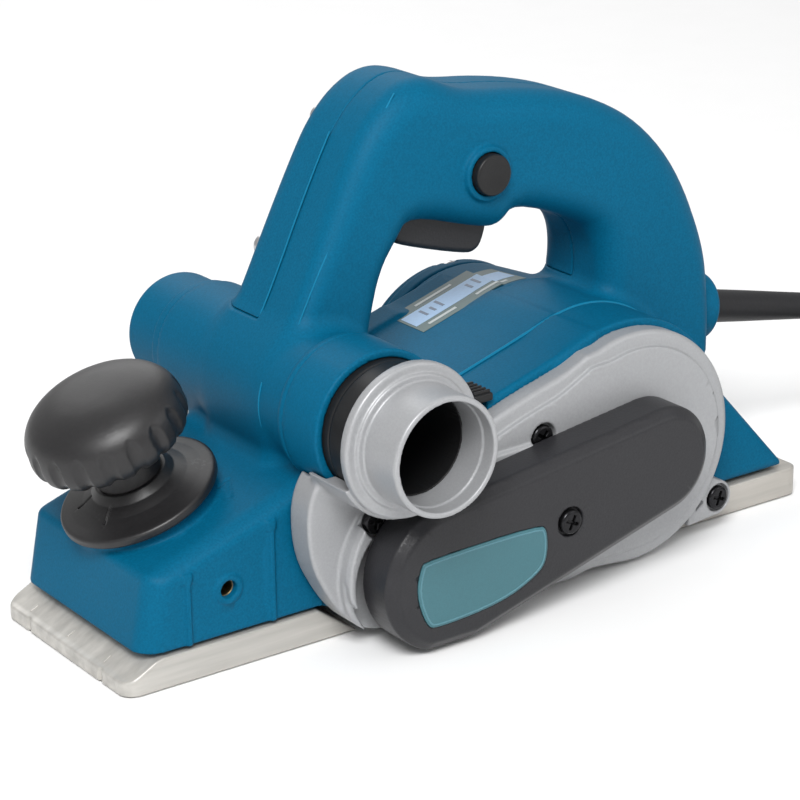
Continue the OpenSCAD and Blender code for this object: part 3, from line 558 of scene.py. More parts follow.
@dataclass(frozen=True)
class Finish:
    """One material: its colours, gloss and pattern.

    Attributes:
        name: Name of the material.
        colour: Base colour, linear.
        rough: Roughness in the middle of its range.
        metal: Metallic share.
        surface: Kind of pattern.
        scale: Scale of the speckle or grain.
        tint: How far the pattern lightens or darkens the colour.
        bump: Height of the pattern, in mm.
        scuff: How strongly scuffs lighten the colour.
        stretch: Scale of the pattern along X, Y and Z.
        specular: Strength of the plain reflection.
    """

    name: str
    colour: Point3
    rough: float = 0.5
    metal: float = 0.0
    surface: Surface = Surface.MOULDED
    scale: float = 900.0
    tint: float = 0.08
    bump: float = 0.02
    scuff: float = 0.0
    stretch: Point3 = (1.0, 1.0, 1.0)
    specular: float = 0.5

    def make(self) -> bpy.types.Material:
        """Build the material, or return it if it was built before."""
        if self.name in bpy.data.materials:
            return bpy.data.materials[self.name]
        material = bpy.data.materials.new(self.name)
        material.use_nodes = True
        tree = material.node_tree
        shader = tree.nodes["Principled BSDF"]
        shader.inputs["Metallic"].default_value = self.metal
        shader.inputs["Specular IOR Level"].default_value = self.specular
        vector = self._vector(tree)
        if self.surface is Surface.MILLED:
            height, cloud = self._group(tree, "grain", vector, ("Lines", "Stain"))
        else:
            height, cloud = self._group(tree, "speckle", vector, ("Speckle", "Cloud"))
        colour = self._shade(tree, height, cloud)
        if self.scuff > 0:
            (marks,) = self._group(tree, "wear", vector, ("Scuff",))
            lift = remap(tree, marks, 0.0, 1.0, 0.0, self.scuff)
            pale = tuple(0.35 + 0.5 * c for c in self.colour)
            colour = self._mix(tree, lift, colour, pale)
        tree.links.new(colour, shader.inputs["Base Color"])
        rough = remap(tree, cloud, 0.0, 1.0, self.rough * 0.92, min(self.rough * 1.1, 1.0))
        tree.links.new(rough, shader.inputs["Roughness"])
        if self.bump > 0:
            bump = tree.nodes.new("ShaderNodeBump")
            bump.inputs["Distance"].default_value = self.bump * MM
            bump.inputs["Strength"].default_value = 1.0
            tree.links.new(height, bump.inputs["Height"])
            tree.links.new(bump.outputs["Normal"], shader.inputs["Normal"])
        return material

    def _vector(self, tree: bpy.types.NodeTree) -> bpy.types.NodeSocket:
        """Object coordinates, stretched for this finish."""
        where = tree.nodes.new("ShaderNodeTexCoord")
        mapping = tree.nodes.new("ShaderNodeMapping")
        mapping.inputs["Scale"].default_value = self.stretch
        tree.links.new(where.outputs["Object"], mapping.inputs["Vector"])
        return mapping.outputs["Vector"]

    def _group(
        self, tree: bpy.types.NodeTree, key: str, vector: object, outputs: Sequence[str]
    ) -> list[bpy.types.NodeSocket]:
        """Place a shared group and return the outputs asked for."""
        node = tree.nodes.new("ShaderNodeGroup")
        node.node_tree = GROUPS[key]
        tree.links.new(vector, node.inputs["Vector"])
        if key != "wear":
            node.inputs["Scale"].default_value = self.scale
        return [node.outputs[label] for label in outputs]

    def _mix(
        self, tree: bpy.types.NodeTree, factor: object, a: object, b: object
    ) -> bpy.types.NodeSocket:
        """Colour mix of two colours or sockets."""
        node = tree.nodes.new("ShaderNodeMix")
        node.data_type = "RGBA"
        tree.links.new(factor, node.inputs["Factor"])
        for socket, value in ((node.inputs[6], a), (node.inputs[7], b)):
            if isinstance(value, bpy.types.NodeSocket):
                tree.links.new(value, socket)
            else:
                socket.default_value = (*value, 1.0)
        return node.outputs[2]

    def _shade(self, tree: bpy.types.NodeTree, fine: object, slow: object) -> bpy.types.NodeSocket:
        """Base colour varied by the fine pattern and the slow one."""
        dark = tuple(c * (1 - self.tint) for c in self.colour)
        light = tuple(min(c * (1 + self.tint), 1.0) for c in self.colour)
        first = self._mix(tree, fine, dark, light)
        if self.surface is Surface.MILLED:
            stain = (self.colour[0] * 0.62, self.colour[1] * 0.53, self.colour[2] * 0.44)
            return self._mix(tree, remap(tree, slow, 0.0, 1.0, 0.0, 0.45), first, stain)
        return self._mix(tree, remap(tree, slow, 0.0, 1.0, 0.0, 0.25), first, dark)


BLUE = Finish(
    "moulded blue", (0.0010, 0.094, 0.182), rough=0.5, scale=1400, tint=0.14, bump=0.012, specular=0.07,
)
# Lighter blue of the raised parting lines: a painted highlight standing in for the light the thin ridges
# catch.
PAINTED_HIGHLIGHT_BLUE = Finish("parting line painted highlight blue", (0.003, 0.155, 0.28), rough=0.45, tint=0.05, bump=0, specular=0.15)
CAST_GREY = Finish(
    "sprayed casting", (0.325, 0.33, 0.34), rough=0.42, metal=0.25, scale=1300, tint=0.05, bump=0.004
)
BLACK = Finish(
    "satin black", (0.010, 0.010, 0.0105), rough=0.42, scale=1200, tint=0.15, bump=0.012, specular=0.3,
)
KNOB_BLACK = Finish(
    "knob black", (0.011, 0.0105, 0.0112), rough=0.42, scale=900, tint=0.15, bump=0.008, scuff=0.06,
    specular=0.5
)
COVER_BLACK = Finish(
    "cover charcoal", (0.021, 0.021, 0.0235), rough=0.38, scale=1300, tint=0.12, specular=0.3,
)
CONTROL_GREY = Finish(
    "control grey", (0.02, 0.02, 0.022), rough=0.42, scale=1000, tint=0.12, specular=0.3,
)
SCREW_BLACK = Finish("blackened screw", (0.02, 0.02, 0.022), rough=0.26, metal=0.8, tint=0.1, bump=0)
MILLED = Finish(
    "milled sole", (0.46, 0.445, 0.415), rough=0.44, metal=0.35, surface=Surface.MILLED,
    scale=230, tint=0.22, bump=0.02, stretch=(0.06, 1.0, 1.0),
)
STEEL = Finish(
    "bright steel", (0.56, 0.56, 0.57), rough=0.30, metal=1.0, surface=Surface.MILLED,
    scale=400, tint=0.06, bump=0.004, stretch=(1.0, 0.1, 1.0),
)
BLADE = Finish(
    "ground blade", (0.72, 0.73, 0.75), rough=0.2, metal=1.0, surface=Surface.MILLED,
    scale=500, tint=0.04, bump=0.003, stretch=(1.0, 0.05, 1.0),
)
BRASS = Finish("aged brass", (0.20, 0.155, 0.085), rough=0.45, metal=1.0, tint=0.1, bump=0.004)
COPPER = Finish(
    "enamelled copper", (0.48, 0.18, 0.07), rough=0.32, metal=0.9, surface=Surface.MILLED,
    scale=600, tint=0.25, bump=0.05, stretch=(0.15, 1.0, 1.0),
)
CARBON = Finish("pressed carbon", (0.02, 0.02, 0.02), rough=0.7, tint=0.2, bump=0.02)
RUBBER = Finish(
    "lead rubber", (0.013, 0.013, 0.0145), rough=0.5, scale=700, tint=0.12, bump=0.02, specular=0.3,
)
BELT_RUBBER = Finish("belt rubber", (0.012, 0.012, 0.012), rough=0.75, tint=0.2, bump=0.05)
INNER_BLACK = Finish("inner black", (0.03, 0.03, 0.032), rough=0.6, tint=0.1, bump=0.01)
BADGE = Finish(
    "badge teal", (0.045, 0.135, 0.16), rough=0.34, scale=2200, tint=0.06, bump=0.003, specular=0.35,
)
BADGE_EDGE = Finish("badge border", (0.07, 0.19, 0.23), rough=0.38, tint=0.05, bump=0)
LABEL_BAND = Finish("label band", (0.085, 0.135, 0.135), rough=0.4, tint=0.06, bump=0.002, specular=0.3)
LABEL_FIELD = Finish("label field", (0.33, 0.50, 0.72), rough=0.38, tint=0.04, bump=0.002, specular=0.3)
LABEL_MARK = Finish("label marks", (0.42, 0.46, 0.46), rough=0.4, tint=0.04, bump=0)
LABEL_INK = Finish("label ink", (0.09, 0.14, 0.22), rough=0.4, tint=0.04, bump=0)
FLOOR = Finish("pale floor", (0.86, 0.86, 0.86), rough=0.7, scale=40, tint=0.004, bump=0)


def dress(obj: bpy.types.Object, finish: Finish) -> bpy.types.Object:
    """Give a whole object one finish."""
    obj.data.materials.clear()
    obj.data.materials.append(finish.make())
    return obj


def settle(
    obj: bpy.types.Object, body: str, slot: str, *nodes: str, finish: Finish | None = None
) -> bpy.types.Object:
    """Finish a piece: its material, its body and the CAD nodes it stands for.

    Args:
        obj: The piece.
        body: CAD body that it rides on.
        slot: Material slot of the record that it takes its finish from; not used.
        *nodes: CAD nodes that it replaces.
        finish: Its material, if it has none yet.

    Returns:
        The piece.
    """
    if finish is not None:
        dress(obj, finish)
    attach(obj, body)
    if nodes:
        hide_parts(*nodes)
    log.info("%s on %s: %d faces", obj.name, body, len(getattr(obj.data, "polygons", ())))
    return obj


# ---------------------------------------------------------------- view and mains lead


@dataclass(frozen=True)
class MainView:
    """Camera of the main picture."""

    position: Point3 = (-574.0, -724.6, 385.6)
    azimuth: float = -35.29
    elevation: float = 20.18
    roll: float = -0.74
    lens: float = 121.98

    def build(self) -> bpy.types.Object:
        """Make the camera and hand it to the scene."""
        data = bpy.data.cameras.new("main view")
        data.lens, data.sensor_width = self.lens, 36.0
        data.clip_start, data.clip_end = 0.05, 20.0
        camera = bpy.data.objects.new("main view", data)
        bpy.context.scene.collection.objects.link(camera)
        a, e, r = (math.radians(v) for v in (self.azimuth, self.elevation, self.roll))
        back = Vector((math.sin(a) * math.cos(e), -math.cos(a) * math.cos(e), math.sin(e)))
        right = Vector((math.cos(a), math.sin(a), 0.0))
        up = back.cross(right)
        across = math.cos(r) * right + math.sin(r) * up
        upright = -math.sin(r) * right + math.cos(r) * up
        turn = Matrix((across, upright, back)).transposed().to_4x4()
        camera.matrix_world = Matrix.Translation(Vector(self.position) * MM) @ turn
        bpy.context.scene.camera = camera
        return camera


def tube_mesh(name: str, path: np.ndarray, radii: Sequence[float], sides: int = 20) -> bpy.types.Mesh:
    """Closed tube along a path, with one radius for each point of it.

    Args:
        name: Name of the mesh.
        path: Points of the centreline, in mm.
        radii: Radius at each point, in mm.
        sides: Corners of the round section.

    Returns:
        The mesh, in metres.
    """
    path = np.asarray(path, float)
    way = np.gradient(path, axis=0)
    way /= np.linalg.norm(way, axis=1, keepdims=True)
    side = np.cross(way[0], (0.0, 0.0, 1.0))
    if np.linalg.norm(side) < 1e-6:
        side = np.array((1.0, 0.0, 0.0))
    verts = []
    for point, t, r in zip(path, way, radii):
        side = side - t * float(side @ t)
        side /= np.linalg.norm(side)
        other = np.cross(t, side)
        for k in range(sides):
            angle = 2 * math.pi * k / sides
            verts.append((point + r * (math.cos(angle) * side + math.sin(angle) * other)) * MM)
    faces = [list(range(sides))[::-1]]
    for i in range(len(path) - 1):
        for k in range(sides):
            n = (k + 1) % sides
            faces.append([i * sides + k, i * sides + n, (i + 1) * sides + n, (i + 1) * sides + k])
    faces.append([(len(path) - 1) * sides + k for k in range(sides)])
    mesh = bpy.data.meshes.new(name)
    mesh.from_pydata([tuple(v) for v in verts], [], faces)
    fix_facing(mesh)
    mesh.shade_smooth()
    mesh.set_sharp_from_angle(angle=math.radians(40))
    return mesh


def fix_facing(mesh: bpy.types.Mesh) -> None:
    """Turn a closed mesh's faces outwards if its volume comes out negative."""
    volume = 0.0
    for poly in mesh.polygons:
        points = [mesh.vertices[i].co for i in poly.vertices]
        for b, c in zip(points[1:], points[2:]):
            volume += points[0].dot(b.cross(c))
    if volume < 0:
        mesh.flip_normals()


def smooth_path(points: Sequence[Point3], passes: int = 2) -> np.ndarray:
    """Line through a few points with its corners eased, its ends kept."""
    line = np.array(points, float)
    for _ in range(passes):
        cut = [line[0]]
        for a, b in zip(line, line[1:]):
            cut += [0.75 * a + 0.25 * b, 0.25 * a + 0.75 * b]
        line = np.array([*cut, line[-1]])
    return line


@dataclass
class MainsLead:
    """Mains lead: it runs from the guard into a coil beside the tool and ends in a plug."""

    centre: Point2 = (190.0, -42.0)
    rings: tuple[float, float, float] = (49.6, 42.3, 35.0)
    levels: tuple[float, float, float] = (3.6, 10.8, 18.0)
    top_ring: float = 42.0
    step_turn: float = 0.08
    turns: float = 6.48
    lead: list[Point3] = field(
        default_factory=lambda: [
            (135.8, 0, 54.4), (145, 0, 51.8), (153, 0, 47.6), (160, 0, 42), (166, 0, 35.6),
            (172, 0, 29.2), (179, -0.2, 23.6), (187, -0.6, 19.8),
        ]
    )
    tail: list[Point3] = field(
        default_factory=lambda: [
            (181, -91.4, 3.6), (172, -91.6, 4.4), (163, -92, 6.8), (154, -92.4, 10.2),
            (145, -92.6, 13.2), (136, -92.8, 15),
        ]
    )

    def _coil(self) -> list[Point3]:
        """Coil from the tail's end up to the lead's end, turn by turn."""
        d = self.step_turn
        a, b, c = self.rings
        low, mid, high = self.levels
        radii = [
            (1 - 2 * d, 1 - d, a, b), (2 - 2 * d, 2 - d, b, c), (4 - 4 * d, 4 - 3 * d, c, b),
            (5 - 4 * d, 5 - 3 * d, b, a), (6 - 4 * d, 6 - 3 * d, a, self.top_ring),
        ]
        rises = [(3 - 3 * d, 3 - 2 * d, low, mid), (6 - 5 * d, 6 - 4 * d, mid, high)]

        def value(u: float, moves: Sequence[tuple], start: float) -> float:
            """Value after u turns, eased through the moves that begin before it."""
            out = start
            for u0, u1, _, to in moves:
                t = min(max((u - u0) / (u1 - u0), 0.0), 1.0)
                out += (to - out) * t * t * (3 - 2 * t)
            return out

        points = []
        for u in np.linspace(0, self.turns, int(self.turns * 60)):
            angle = math.radians(-90 + 360 * u)
            r, z = value(u, radii, a), value(u, rises, low)
            points.append((self.centre[0] + r * math.cos(angle), self.centre[1] + r * math.sin(angle), z))
        return points

    def build(self) -> list[bpy.types.Object]:
        coil = self._coil()
        path = np.array([*smooth_path(self.lead, 2), *coil[::-1], *smooth_path(self.tail, 2)])
        curve = bpy.data.curves.new("mains_lead", "CURVE")
        curve.dimensions = "3D"
        spline = curve.splines.new("POLY")
        spline.points.add(len(path) - 1)
        for point, where in zip(spline.points, path):
            point.co = (*(where * MM), 1.0)
        curve.bevel_depth = CORD_R * MM
        curve.bevel_resolution = 5
        curve.use_fill_caps = True
        lead = bpy.data.objects.new("mains_lead", curve)
        bpy.context.scene.collection.objects.link(lead)
        settle(lead, "body", "black_rubber", "cord_lead", "cord_coil", "cord_tail", finish=RUBBER)
        plug, tie = self._plug(), self._tie()
        return [lead, plug, tie]

    def _plug(self) -> bpy.types.Object:
        """Two-pin plug: a waisted grip with finger ridges, a collar and round pins."""
        x, y, z = 138.0, -92.8, 15.0
        work = Workpiece((84, -109, -1), (140, -76.5, 31), 0.5)
        work.join(rod((x, y, z), (x - 9, y, z), 6.5, 7.6, 1.0))
        work.join(rod((x - 8, y, z), (x - 19, y, z), 8.0, 14.2, 1.5), 2.0)
        work.join(rod((x - 18, y, z), (x - 33.8, y, z), 14.9, 13.8, 2.0), 1.5)
        for i in range(4):
            ridge_gap = self._groove(x - 21.5 - 2.6 * i, y, z)
            work.cut(Solid(ridge_gap, (x - 34, y - 15, z - 15), (x, y + 15, z + 15)), 0.4)
        plug = work.finish("plug")
        settle(plug, "body", "black_rubber", "plug", finish=RUBBER)
        pins = Workpiece((84, -106, 11), (106, -79, 19), 0.35)
        for side in (-9.5, 9.5):
            pins.join(rod((x - 33, y + side, z), (x - 52.6, y + side, z), 2.3, 2.3, 1.1))
        settle(pins.finish("plug_pins"), "body", "steel", finish=STEEL)
        return plug

    @staticmethod
    def _groove(x0: float, y0: float, z0: float) -> Rule:
        """Shallow round groove about a bar along X."""

        def rule(x: np.ndarray, y: np.ndarray, z: np.ndarray) -> np.ndarray:
            """Distance to the groove."""
            off = np.hypot(y - y0, z - z0)
            return np.hypot(x - x0, off - 15.2) - 1.3

        return rule

    def _tie(self) -> bpy.types.Object:
        """Soft tie wound round the bundle on the side away from the tool."""
        low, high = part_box("cord_tie")
        cx, cz = (low.x + high.x) / 2 / MM, (low.z + high.z) / 2 / MM
        hx, hz, y = (high.x - low.x) / 2 / MM, (high.z - low.z) / 2 / MM, (low.y + high.y) / 2 / MM
        half = (high.y - low.y) / 2 / MM

        def corners(dx: float, dy: float, under: float, over_top: float) -> tuple[Point3, Point3]:
            """Corners of the tie's box, moved out by dx, dy, under and over_top."""
            return (
                (cx - hx - dx, y - half - dy, cz - hz - under),
                (cx + hx + dx, y + half + dy, cz + hz + over_top),
            )

        work = Workpiece(*corners(1, 1, 1, 1), 0.4)
        work.join(slab(*corners(0, 0, 0, 0), 1.4))
        work.cut(slab(*corners(-1.2, 3, -0.6, -1.2), 0.6))
        return settle(work.finish("lead_tie"), "body", "black_rubber", "cord_tie", finish=BELT_RUBBER)


@dataclass
class LeadGuard:
    """Tapered bend guard round the lead where it leaves the housing."""

    start: Point3 = (78.0, 0.0, 66.0)
    slope: float = 0.2

    def build(self) -> bpy.types.Object:
        """Make the guard."""
        lean = math.atan(self.slope)
        way = np.array((math.cos(lean), 0.0, -math.sin(lean)))
        at = [-3, 0, 0.5, 3, 6, 20, 40, 54, 57.6, 58.6, 59]
        radii = [6.4, 6.4, 6.9, 6.8, 6.3, 6.0, 5.45, 5.1, 5.0, 4.7, 4.2]
        points = np.array([np.array(self.start) + way * a for a in at])
        guard = place("lead_guard", tube_mesh("lead_guard", points, radii, 40))
        return settle(guard, "body", "black_rubber", "cord_guard", finish=RUBBER)


# ---------------------------------------------------------------- repeated parts


@dataclass
class Scatter:
    """Copies of one prototype set out by a geometry node tree, one mesh for each call."""

    tree: bpy.types.NodeTree | None = None

    def _tree(self) -> bpy.types.NodeTree:
        """Node tree: instances of the prototype on the points, turned, realised and finished."""
        if self.tree is not None:
            return self.tree
        tree = bpy.data.node_groups.new("set out copies", "GeometryNodeTree")
        face = tree.interface
        face.new_socket(name="Points", in_out="INPUT", socket_type="NodeSocketGeometry")
        face.new_socket(name="Prototype", in_out="INPUT", socket_type="NodeSocketObject")
        face.new_socket(name="Finish", in_out="INPUT", socket_type="NodeSocketMaterial")
        size = face.new_socket(name="Size", in_out="INPUT", socket_type="NodeSocketFloat")
        size.default_value = 1.0
        face.new_socket(name="Copies", in_out="OUTPUT", socket_type="NodeSocketGeometry")
        start, end = tree.nodes.new("NodeGroupInput"), tree.nodes.new("NodeGroupOutput")
        source = tree.nodes.new("GeometryNodeObjectInfo")
        source.transform_space = "ORIGINAL"
        turn = tree.nodes.new("GeometryNodeInputNamedAttribute")
        turn.data_type = "FLOAT_VECTOR"
        turn.inputs["Name"].default_value = "turn"
        copies = tree.nodes.new("GeometryNodeInstanceOnPoints")
        solid = tree.nodes.new("GeometryNodeRealizeInstances")
        finish = tree.nodes.new("GeometryNodeSetMaterial")
        tree.links.new(start.outputs["Prototype"], source.inputs["Object"])
        tree.links.new(start.outputs["Points"], copies.inputs["Points"])
        tree.links.new(source.outputs["Geometry"], copies.inputs["Instance"])
        tree.links.new(turn.outputs["Attribute"], copies.inputs["Rotation"])
        tree.links.new(start.outputs["Size"], copies.inputs["Scale"])
        tree.links.new(copies.outputs["Instances"], solid.inputs["Geometry"])
        tree.links.new(solid.outputs["Geometry"], finish.inputs["Geometry"])
        tree.links.new(start.outputs["Finish"], finish.inputs["Material"])
        tree.links.new(finish.outputs["Geometry"], end.inputs["Copies"])
        self.tree = tree
        return tree

    def build(
        self, name: str, prototype: bpy.types.Object, places: Sequence[tuple[Point3, Point3]],
        finish: Finish, size: float = 1.0,
    ) -> bpy.types.Object:
        """Set out the copies and turn them into one mesh.

        Args:
            name: Name of the new object.
            prototype: Object to copy, modelled at the origin in metres.
            places: Place in mm and turn in degrees of each copy.
            finish: Material of the copies.
            size: Scale of every copy.

        Returns:
            The new object.
        """
        mesh = bpy.data.meshes.new(name + " points")
        mesh.from_pydata([tuple(c * MM for c in p) for p, _ in places], [], [])
        turns = mesh.attributes.new("turn", "FLOAT_VECTOR", "POINT")
        turns.data.foreach_set("vector", [math.radians(a) for _, t in places for a in t])
        carrier = place(name + " carrier", mesh)
        modifier = carrier.modifiers.new("copies", "NODES")
        modifier.node_group = self._tree()
        for item in modifier.node_group.interface.items_tree:
            if item.in_out == "INPUT" and item.name in ("Prototype", "Finish", "Size"):
                value = {"Prototype": prototype, "Finish": finish.make(), "Size": size}[item.name]
                modifier[item.identifier] = value
        bpy.context.view_layer.update()
        evaluated = carrier.evaluated_get(bpy.context.evaluated_depsgraph_get())
        made = bpy.data.meshes.new_from_object(evaluated)
        made.name = name
        carrier.modifiers.remove(modifier)
        bpy.data.objects.remove(carrier)
        for attribute in [a for a in made.attributes if a.name == "turn"]:
            made.attributes.remove(attribute)
        return place(name, made)


SCATTER = Scatter()


def drop(prototype: bpy.types.Object) -> None:
    """Remove a prototype once its copies are made."""
    bpy.data.objects.remove(prototype)


def cross_screw(head_r: float, head: float = SCREW_HEAD, shank: float = 8.0) -> bpy.types.Object:
    """Prototype of a pan-head screw with a cross recess, its head's top at y 0, facing -Y."""
    work = Workpiece((-head_r - 1, -1, -head_r - 1), (head_r + 1, head + shank + 1, head_r + 1), 0.22)
    work.join(bar((0, 0), 0, head, head_r, 1.1))
    work.join(bar((0, 0), head - 0.5, head + shank, head_r * 0.42, 0.3))
    wing, depth = head_r * 0.62, 1.6
    for across, upright in ((wing, 0.55), (0.55, wing)):
        work.cut(slab((-across, -1, -upright), (across, depth, upright), 0.15), 0.1)
    return work.finish("screw prototype")


@dataclass
class Fasteners:
    """Screws of the casting, belt cover, handle, motor cap and base."""

    handle: list[Point2] = field(
        default_factory=lambda: [(-103, 119), (-79, 160), (-6, 141), (42, 120)]
    )
    side_turns: tuple[float, ...] = (35.0, 5.0, 20.0)

    def build(self) -> None:
        """Set out every screw."""
        big = cross_screw(4.4)
        places = [
            ((x, y - SCREW_HEAD, z), (0.0, turn, 0.0))
            for (x, y, z), turn in zip(SCREW_SEATS, self.side_turns)
        ]
        screws = SCATTER.build("casting_screws", big, places, SCREW_BLACK)
        settle(screws, "body", "black_screw", "side_cover_screws")
        places = [((COVER_SCREW[0], -74.9, COVER_SCREW[1]), (0.0, 25.0, 0.0))]
        one = SCATTER.build("belt_cover_screw", big, places, SCREW_BLACK)
        settle(one, "body", "black_screw", "belt_cover_screw")
        drop(big)
        small = cross_screw(4.0)
        cap = [(polar(MOTOR, CAP_SCREW_R, a), a) for a in CAP_SCREW_ANGLES]
        for name, places in (
            ("handle_screws", [
                ((x, HALF_W - 0.5, z), (0.0, 12.0 * i, 180.0)) for i, (x, z) in enumerate(self.handle)
            ]),
            ("motor_cap_screws", [((x, 53.4, z), (0.0, a, 180.0)) for (x, z), a in cap]),
            ("base_screws", [
                ((float(x), 30.0 * s, 1.2), (90.0, 0.0, 20.0 * s)) for x in (-50, 30) for s in (-1, 1)
            ]),
        ):
            settle(SCATTER.build(name, small, places, STEEL), "body", "steel", name)
        drop(small)


# ---------------------------------------------------------------- blue housings


HANDLE_OUTER = [
    (-127, 50), (-128, 75), (-124, 90), (-112, 112), (-102, 133), (-94, 149), (-88, 160),
    (-80, 169.5), (-71, 175.5), (-63, 177), (-55, 175), (-46, 170.8), (-38, 168.8), (-20, 167),
    (0, 163), (18, 156.5), (34, 147), (48, 132.5), (58, 115), (64, 98), (66, 84), (66, 40),
]
HANDLE_INNER = [
    (16, 40), (15, 86), (16, 98), (14, 108), (8, 115.5), (-22, 126.5), (-29, 120), (-35, 120),
    (-67, 130), (-73, 122), (-79, 114), (-84, 98), (-88, 80), (-88, 50),
]
MID_PROFILE = [
    (-122, 12.4), (-122, 70), (-96, 78), (-89, 66), (-80, 66.5), (-14, 87), (-1, 60), (30, 12.4),
]
REAR_PROFILE = [(0, 12.4), (84.5, 12.4), (84.5, 14.5), (56, 46), (37, 67.5), (0, 67.5)]


@dataclass
class BlueShell:
    """Blue housings: front block, duct, ramp, barrel, rear wedge and the loop handle."""

    step: float = 0.7
    strut_edge: float = 7.0
    grip_edge: float = 11.0
    duct_fillet: float = 6.0
    handle_fillet: float = 6.0
    seam: float = 0.12
    cover_heights: tuple[float, float] = (101.0, 90.0)

    def _front_block(self) -> Solid:
        """Front housing: a leaning nose, a sloping deck and a chamfer down both sides."""

        def rule(x: np.ndarray, y: np.ndarray, z: np.ndarray) -> np.ndarray:
            """Distance to the front housing."""
            nose = -0.981 * (x + 191.2) + 0.195 * (z - HOUSING_Z)
            side = np.abs(y) - SIDE_Y
            plan = soft_and(nose, side, 8.0)
            deck = -0.317 * (x - DECK[0]) + 0.948 * (z - DECK[1])
            band = (deck * 4.5 + (np.abs(y) - 36.0) * 3.0) / 5.41
            top = soft_and(deck, band, 1.5)
            out = soft_and(plan, top, 1.5)
            out = soft_and(out, HOUSING_Z - z, 0.5)
            return np.maximum(out, x + 108.0)

        return Solid(rule, (-193, -SIDE_Y, HOUSING_Z), (-108, SIDE_Y, 66))

    def _handle(self) -> Solid:
        """Loop handle with rounder edges at the grip than at the strut."""
        outline = eased(HANDLE_OUTER + HANDLE_INNER, 2)

        def rule(x: np.ndarray, y: np.ndarray, z: np.ndarray) -> np.ndarray:
            """Distance to the handle."""
            share = np.clip((x + 108.0) / 40.0, 0, 1) * np.clip((z - 70.0) / 40.0, 0, 1)
            edge = self.strut_edge + (self.grip_edge - self.strut_edge) * share
            return soft_and(outline_distance(x, z, outline), np.abs(y) - HALF_W, edge)

        return Solid(rule, (-128, -HALF_W, 42), (66, HALF_W, 177))

    def _above_floor(self, solid: Solid) -> Solid:
        """A solid kept above the housings' lower edge."""

        def rule(x: np.ndarray, y: np.ndarray, z: np.ndarray) -> np.ndarray:
            """Distance to what lies over the housing's floor."""
            return soft_and(solid.rule(x, y, z), HOUSING_Z - z, 0.5)

        return Solid(rule, (*solid.low[:2], max(solid.low[2], HOUSING_Z)), solid.high)

    def _outside(self) -> Workpiece:
        """All blue plastic as one solid, before it is hollowed and parted."""
        work = Workpiece((-193.5, -58.5, 11.2), (86, 53.5, 179), self.step)
        work.join(self._front_block())
        work.join(knob_bar(-12, 0, 24.5, edge=1.0), 1.0)
        work.join(prism(MID_PROFILE, DRIVE_Y, SIDE_Y, 2.0), 2.0)
        work.join(prism(REAR_PROFILE, -SIDE_Y, SIDE_Y, 3.0), 2.0)
        work.join(self._above_floor(bar(MOTOR, DRIVE_Y, 9.0, BARREL_R, 0.8)), 3.0)
        work.join(self._above_floor(cone(MOTOR, 8.0, 46.0, BARREL_R, CAP_R, 0.5)), 1.0)
        work.join(self._above_floor(bar(DRUM, 38.0, 44.5, 28.5, 1.5)), 1.5)
        work.join(bar(DRUM, 38.0, 51.5, 17.0, 2.5), 2.0)
        work.join(bar(DUCT, -36, 46, 22.5, 0.4), self.duct_fillet)
        work.join(self._handle(), self.handle_fillet)
        work.join(bar(DUCT, -57, -34, 25.4, 0.9), 0.8)
        work.join(rod((58, 0, 70), (76.6, 0, 66.3), 13.5, 13.2, 2.5), 3.0)
        return work

    def _details(self, work: Workpiece) -> None:
        """Ribs, rings, ridges and marks on the outside."""
        for x, top in ((-173.8, 36.0), (-141.7, 46.6)):
            work.join(slab((x - 1.05, -SIDE_Y - 1.2, HOUSING_Z), (x + 1.05, -36, top), 0.5), 0.6)
            work.join(slab((x - 1.9, -SIDE_Y - 1.0, top - 2.2), (x + 1.9, -36, top + 1.4), 0.5), 0.4)
        work.join(bar(INSERT, -SIDE_Y - 0.7, -38, 5.2, 0.5), 0.6)
        work.cut(bar(INSERT, -45, -28, 3.0, 0.3), 0.4)
        work.join(bar(LOCK, -23, -10, 9.6, 0.9), 1.2)
        work.join(prism([(-62, 68), (-60, 74.2), (-41, 80.1), (-36, 79), (-36, 70)], 27, 39, 1.2), 1.5)
        deck_z = DECK[1] + (-144 - DECK[0]) * math.tan(DECK_SLOPE)
        work.cut(rod((-151, -15, deck_z - 2.2), (-139.5, -12.5, deck_z + 1.7), 0.55), 0.2)
        work.cut(rod((-146, -23.5, deck_z - 0.5), (-139.5, -12.5, deck_z + 1.7), 0.55), 0.2)
        for y in (-37.5, -34.6):
            work.cut(Solid(self._duct_line(y), (-136, y - 1, 50), (-82, y + 1, 105)))

    @staticmethod
    def _duct_line(y0: float) -> Rule:
        """Thin groove round the duct's outside."""

        def rule(x: np.ndarray, y: np.ndarray, z: np.ndarray) -> np.ndarray:
            """Distance to the groove."""
            return np.hypot(y - y0, np.hypot(x - DUCT[0], z - DUCT[1]) - 25.6) - 0.55

        return rule

    def _hollow(self, work: Workpiece) -> None:
        """Rooms for the drum, the duct's air, the motor, the trigger and the switch."""
        work.cut(bar(DRUM, -43, SIDE_Y + 0.6, 25.0, 0))
        work.cut(prism([(-121, 24), (-121, 70), (-98, 70), (-98, 40), (-106, 24)], -30, 30, 0))
        work.cut(bar(DUCT, -60, 48, 18.6, 0))
        work.cut(bar(DUCT, -60, -45, 22.55, 0), 0.3)
        work.cut(over(self._above_floor(bar(MOTOR, -38.5, 48, 38.0, 0)), HOUSING_Z + 2.5))
        outline = HANDLE_OUTER + HANDLE_INNER

        def inner(x: np.ndarray, y: np.ndarray, z: np.ndarray) -> np.ndarray:
            """Distance to the handle's hollow."""
            wall = outline_distance(x, z, outline) + self.grip_edge - 2.0
            floor = np.where(x < -50, self.cover_heights[0] + 5, self.cover_heights[1] + 2) - z
            return np.maximum(np.maximum(wall, np.abs(y) - HALF_W + 4.0), floor)

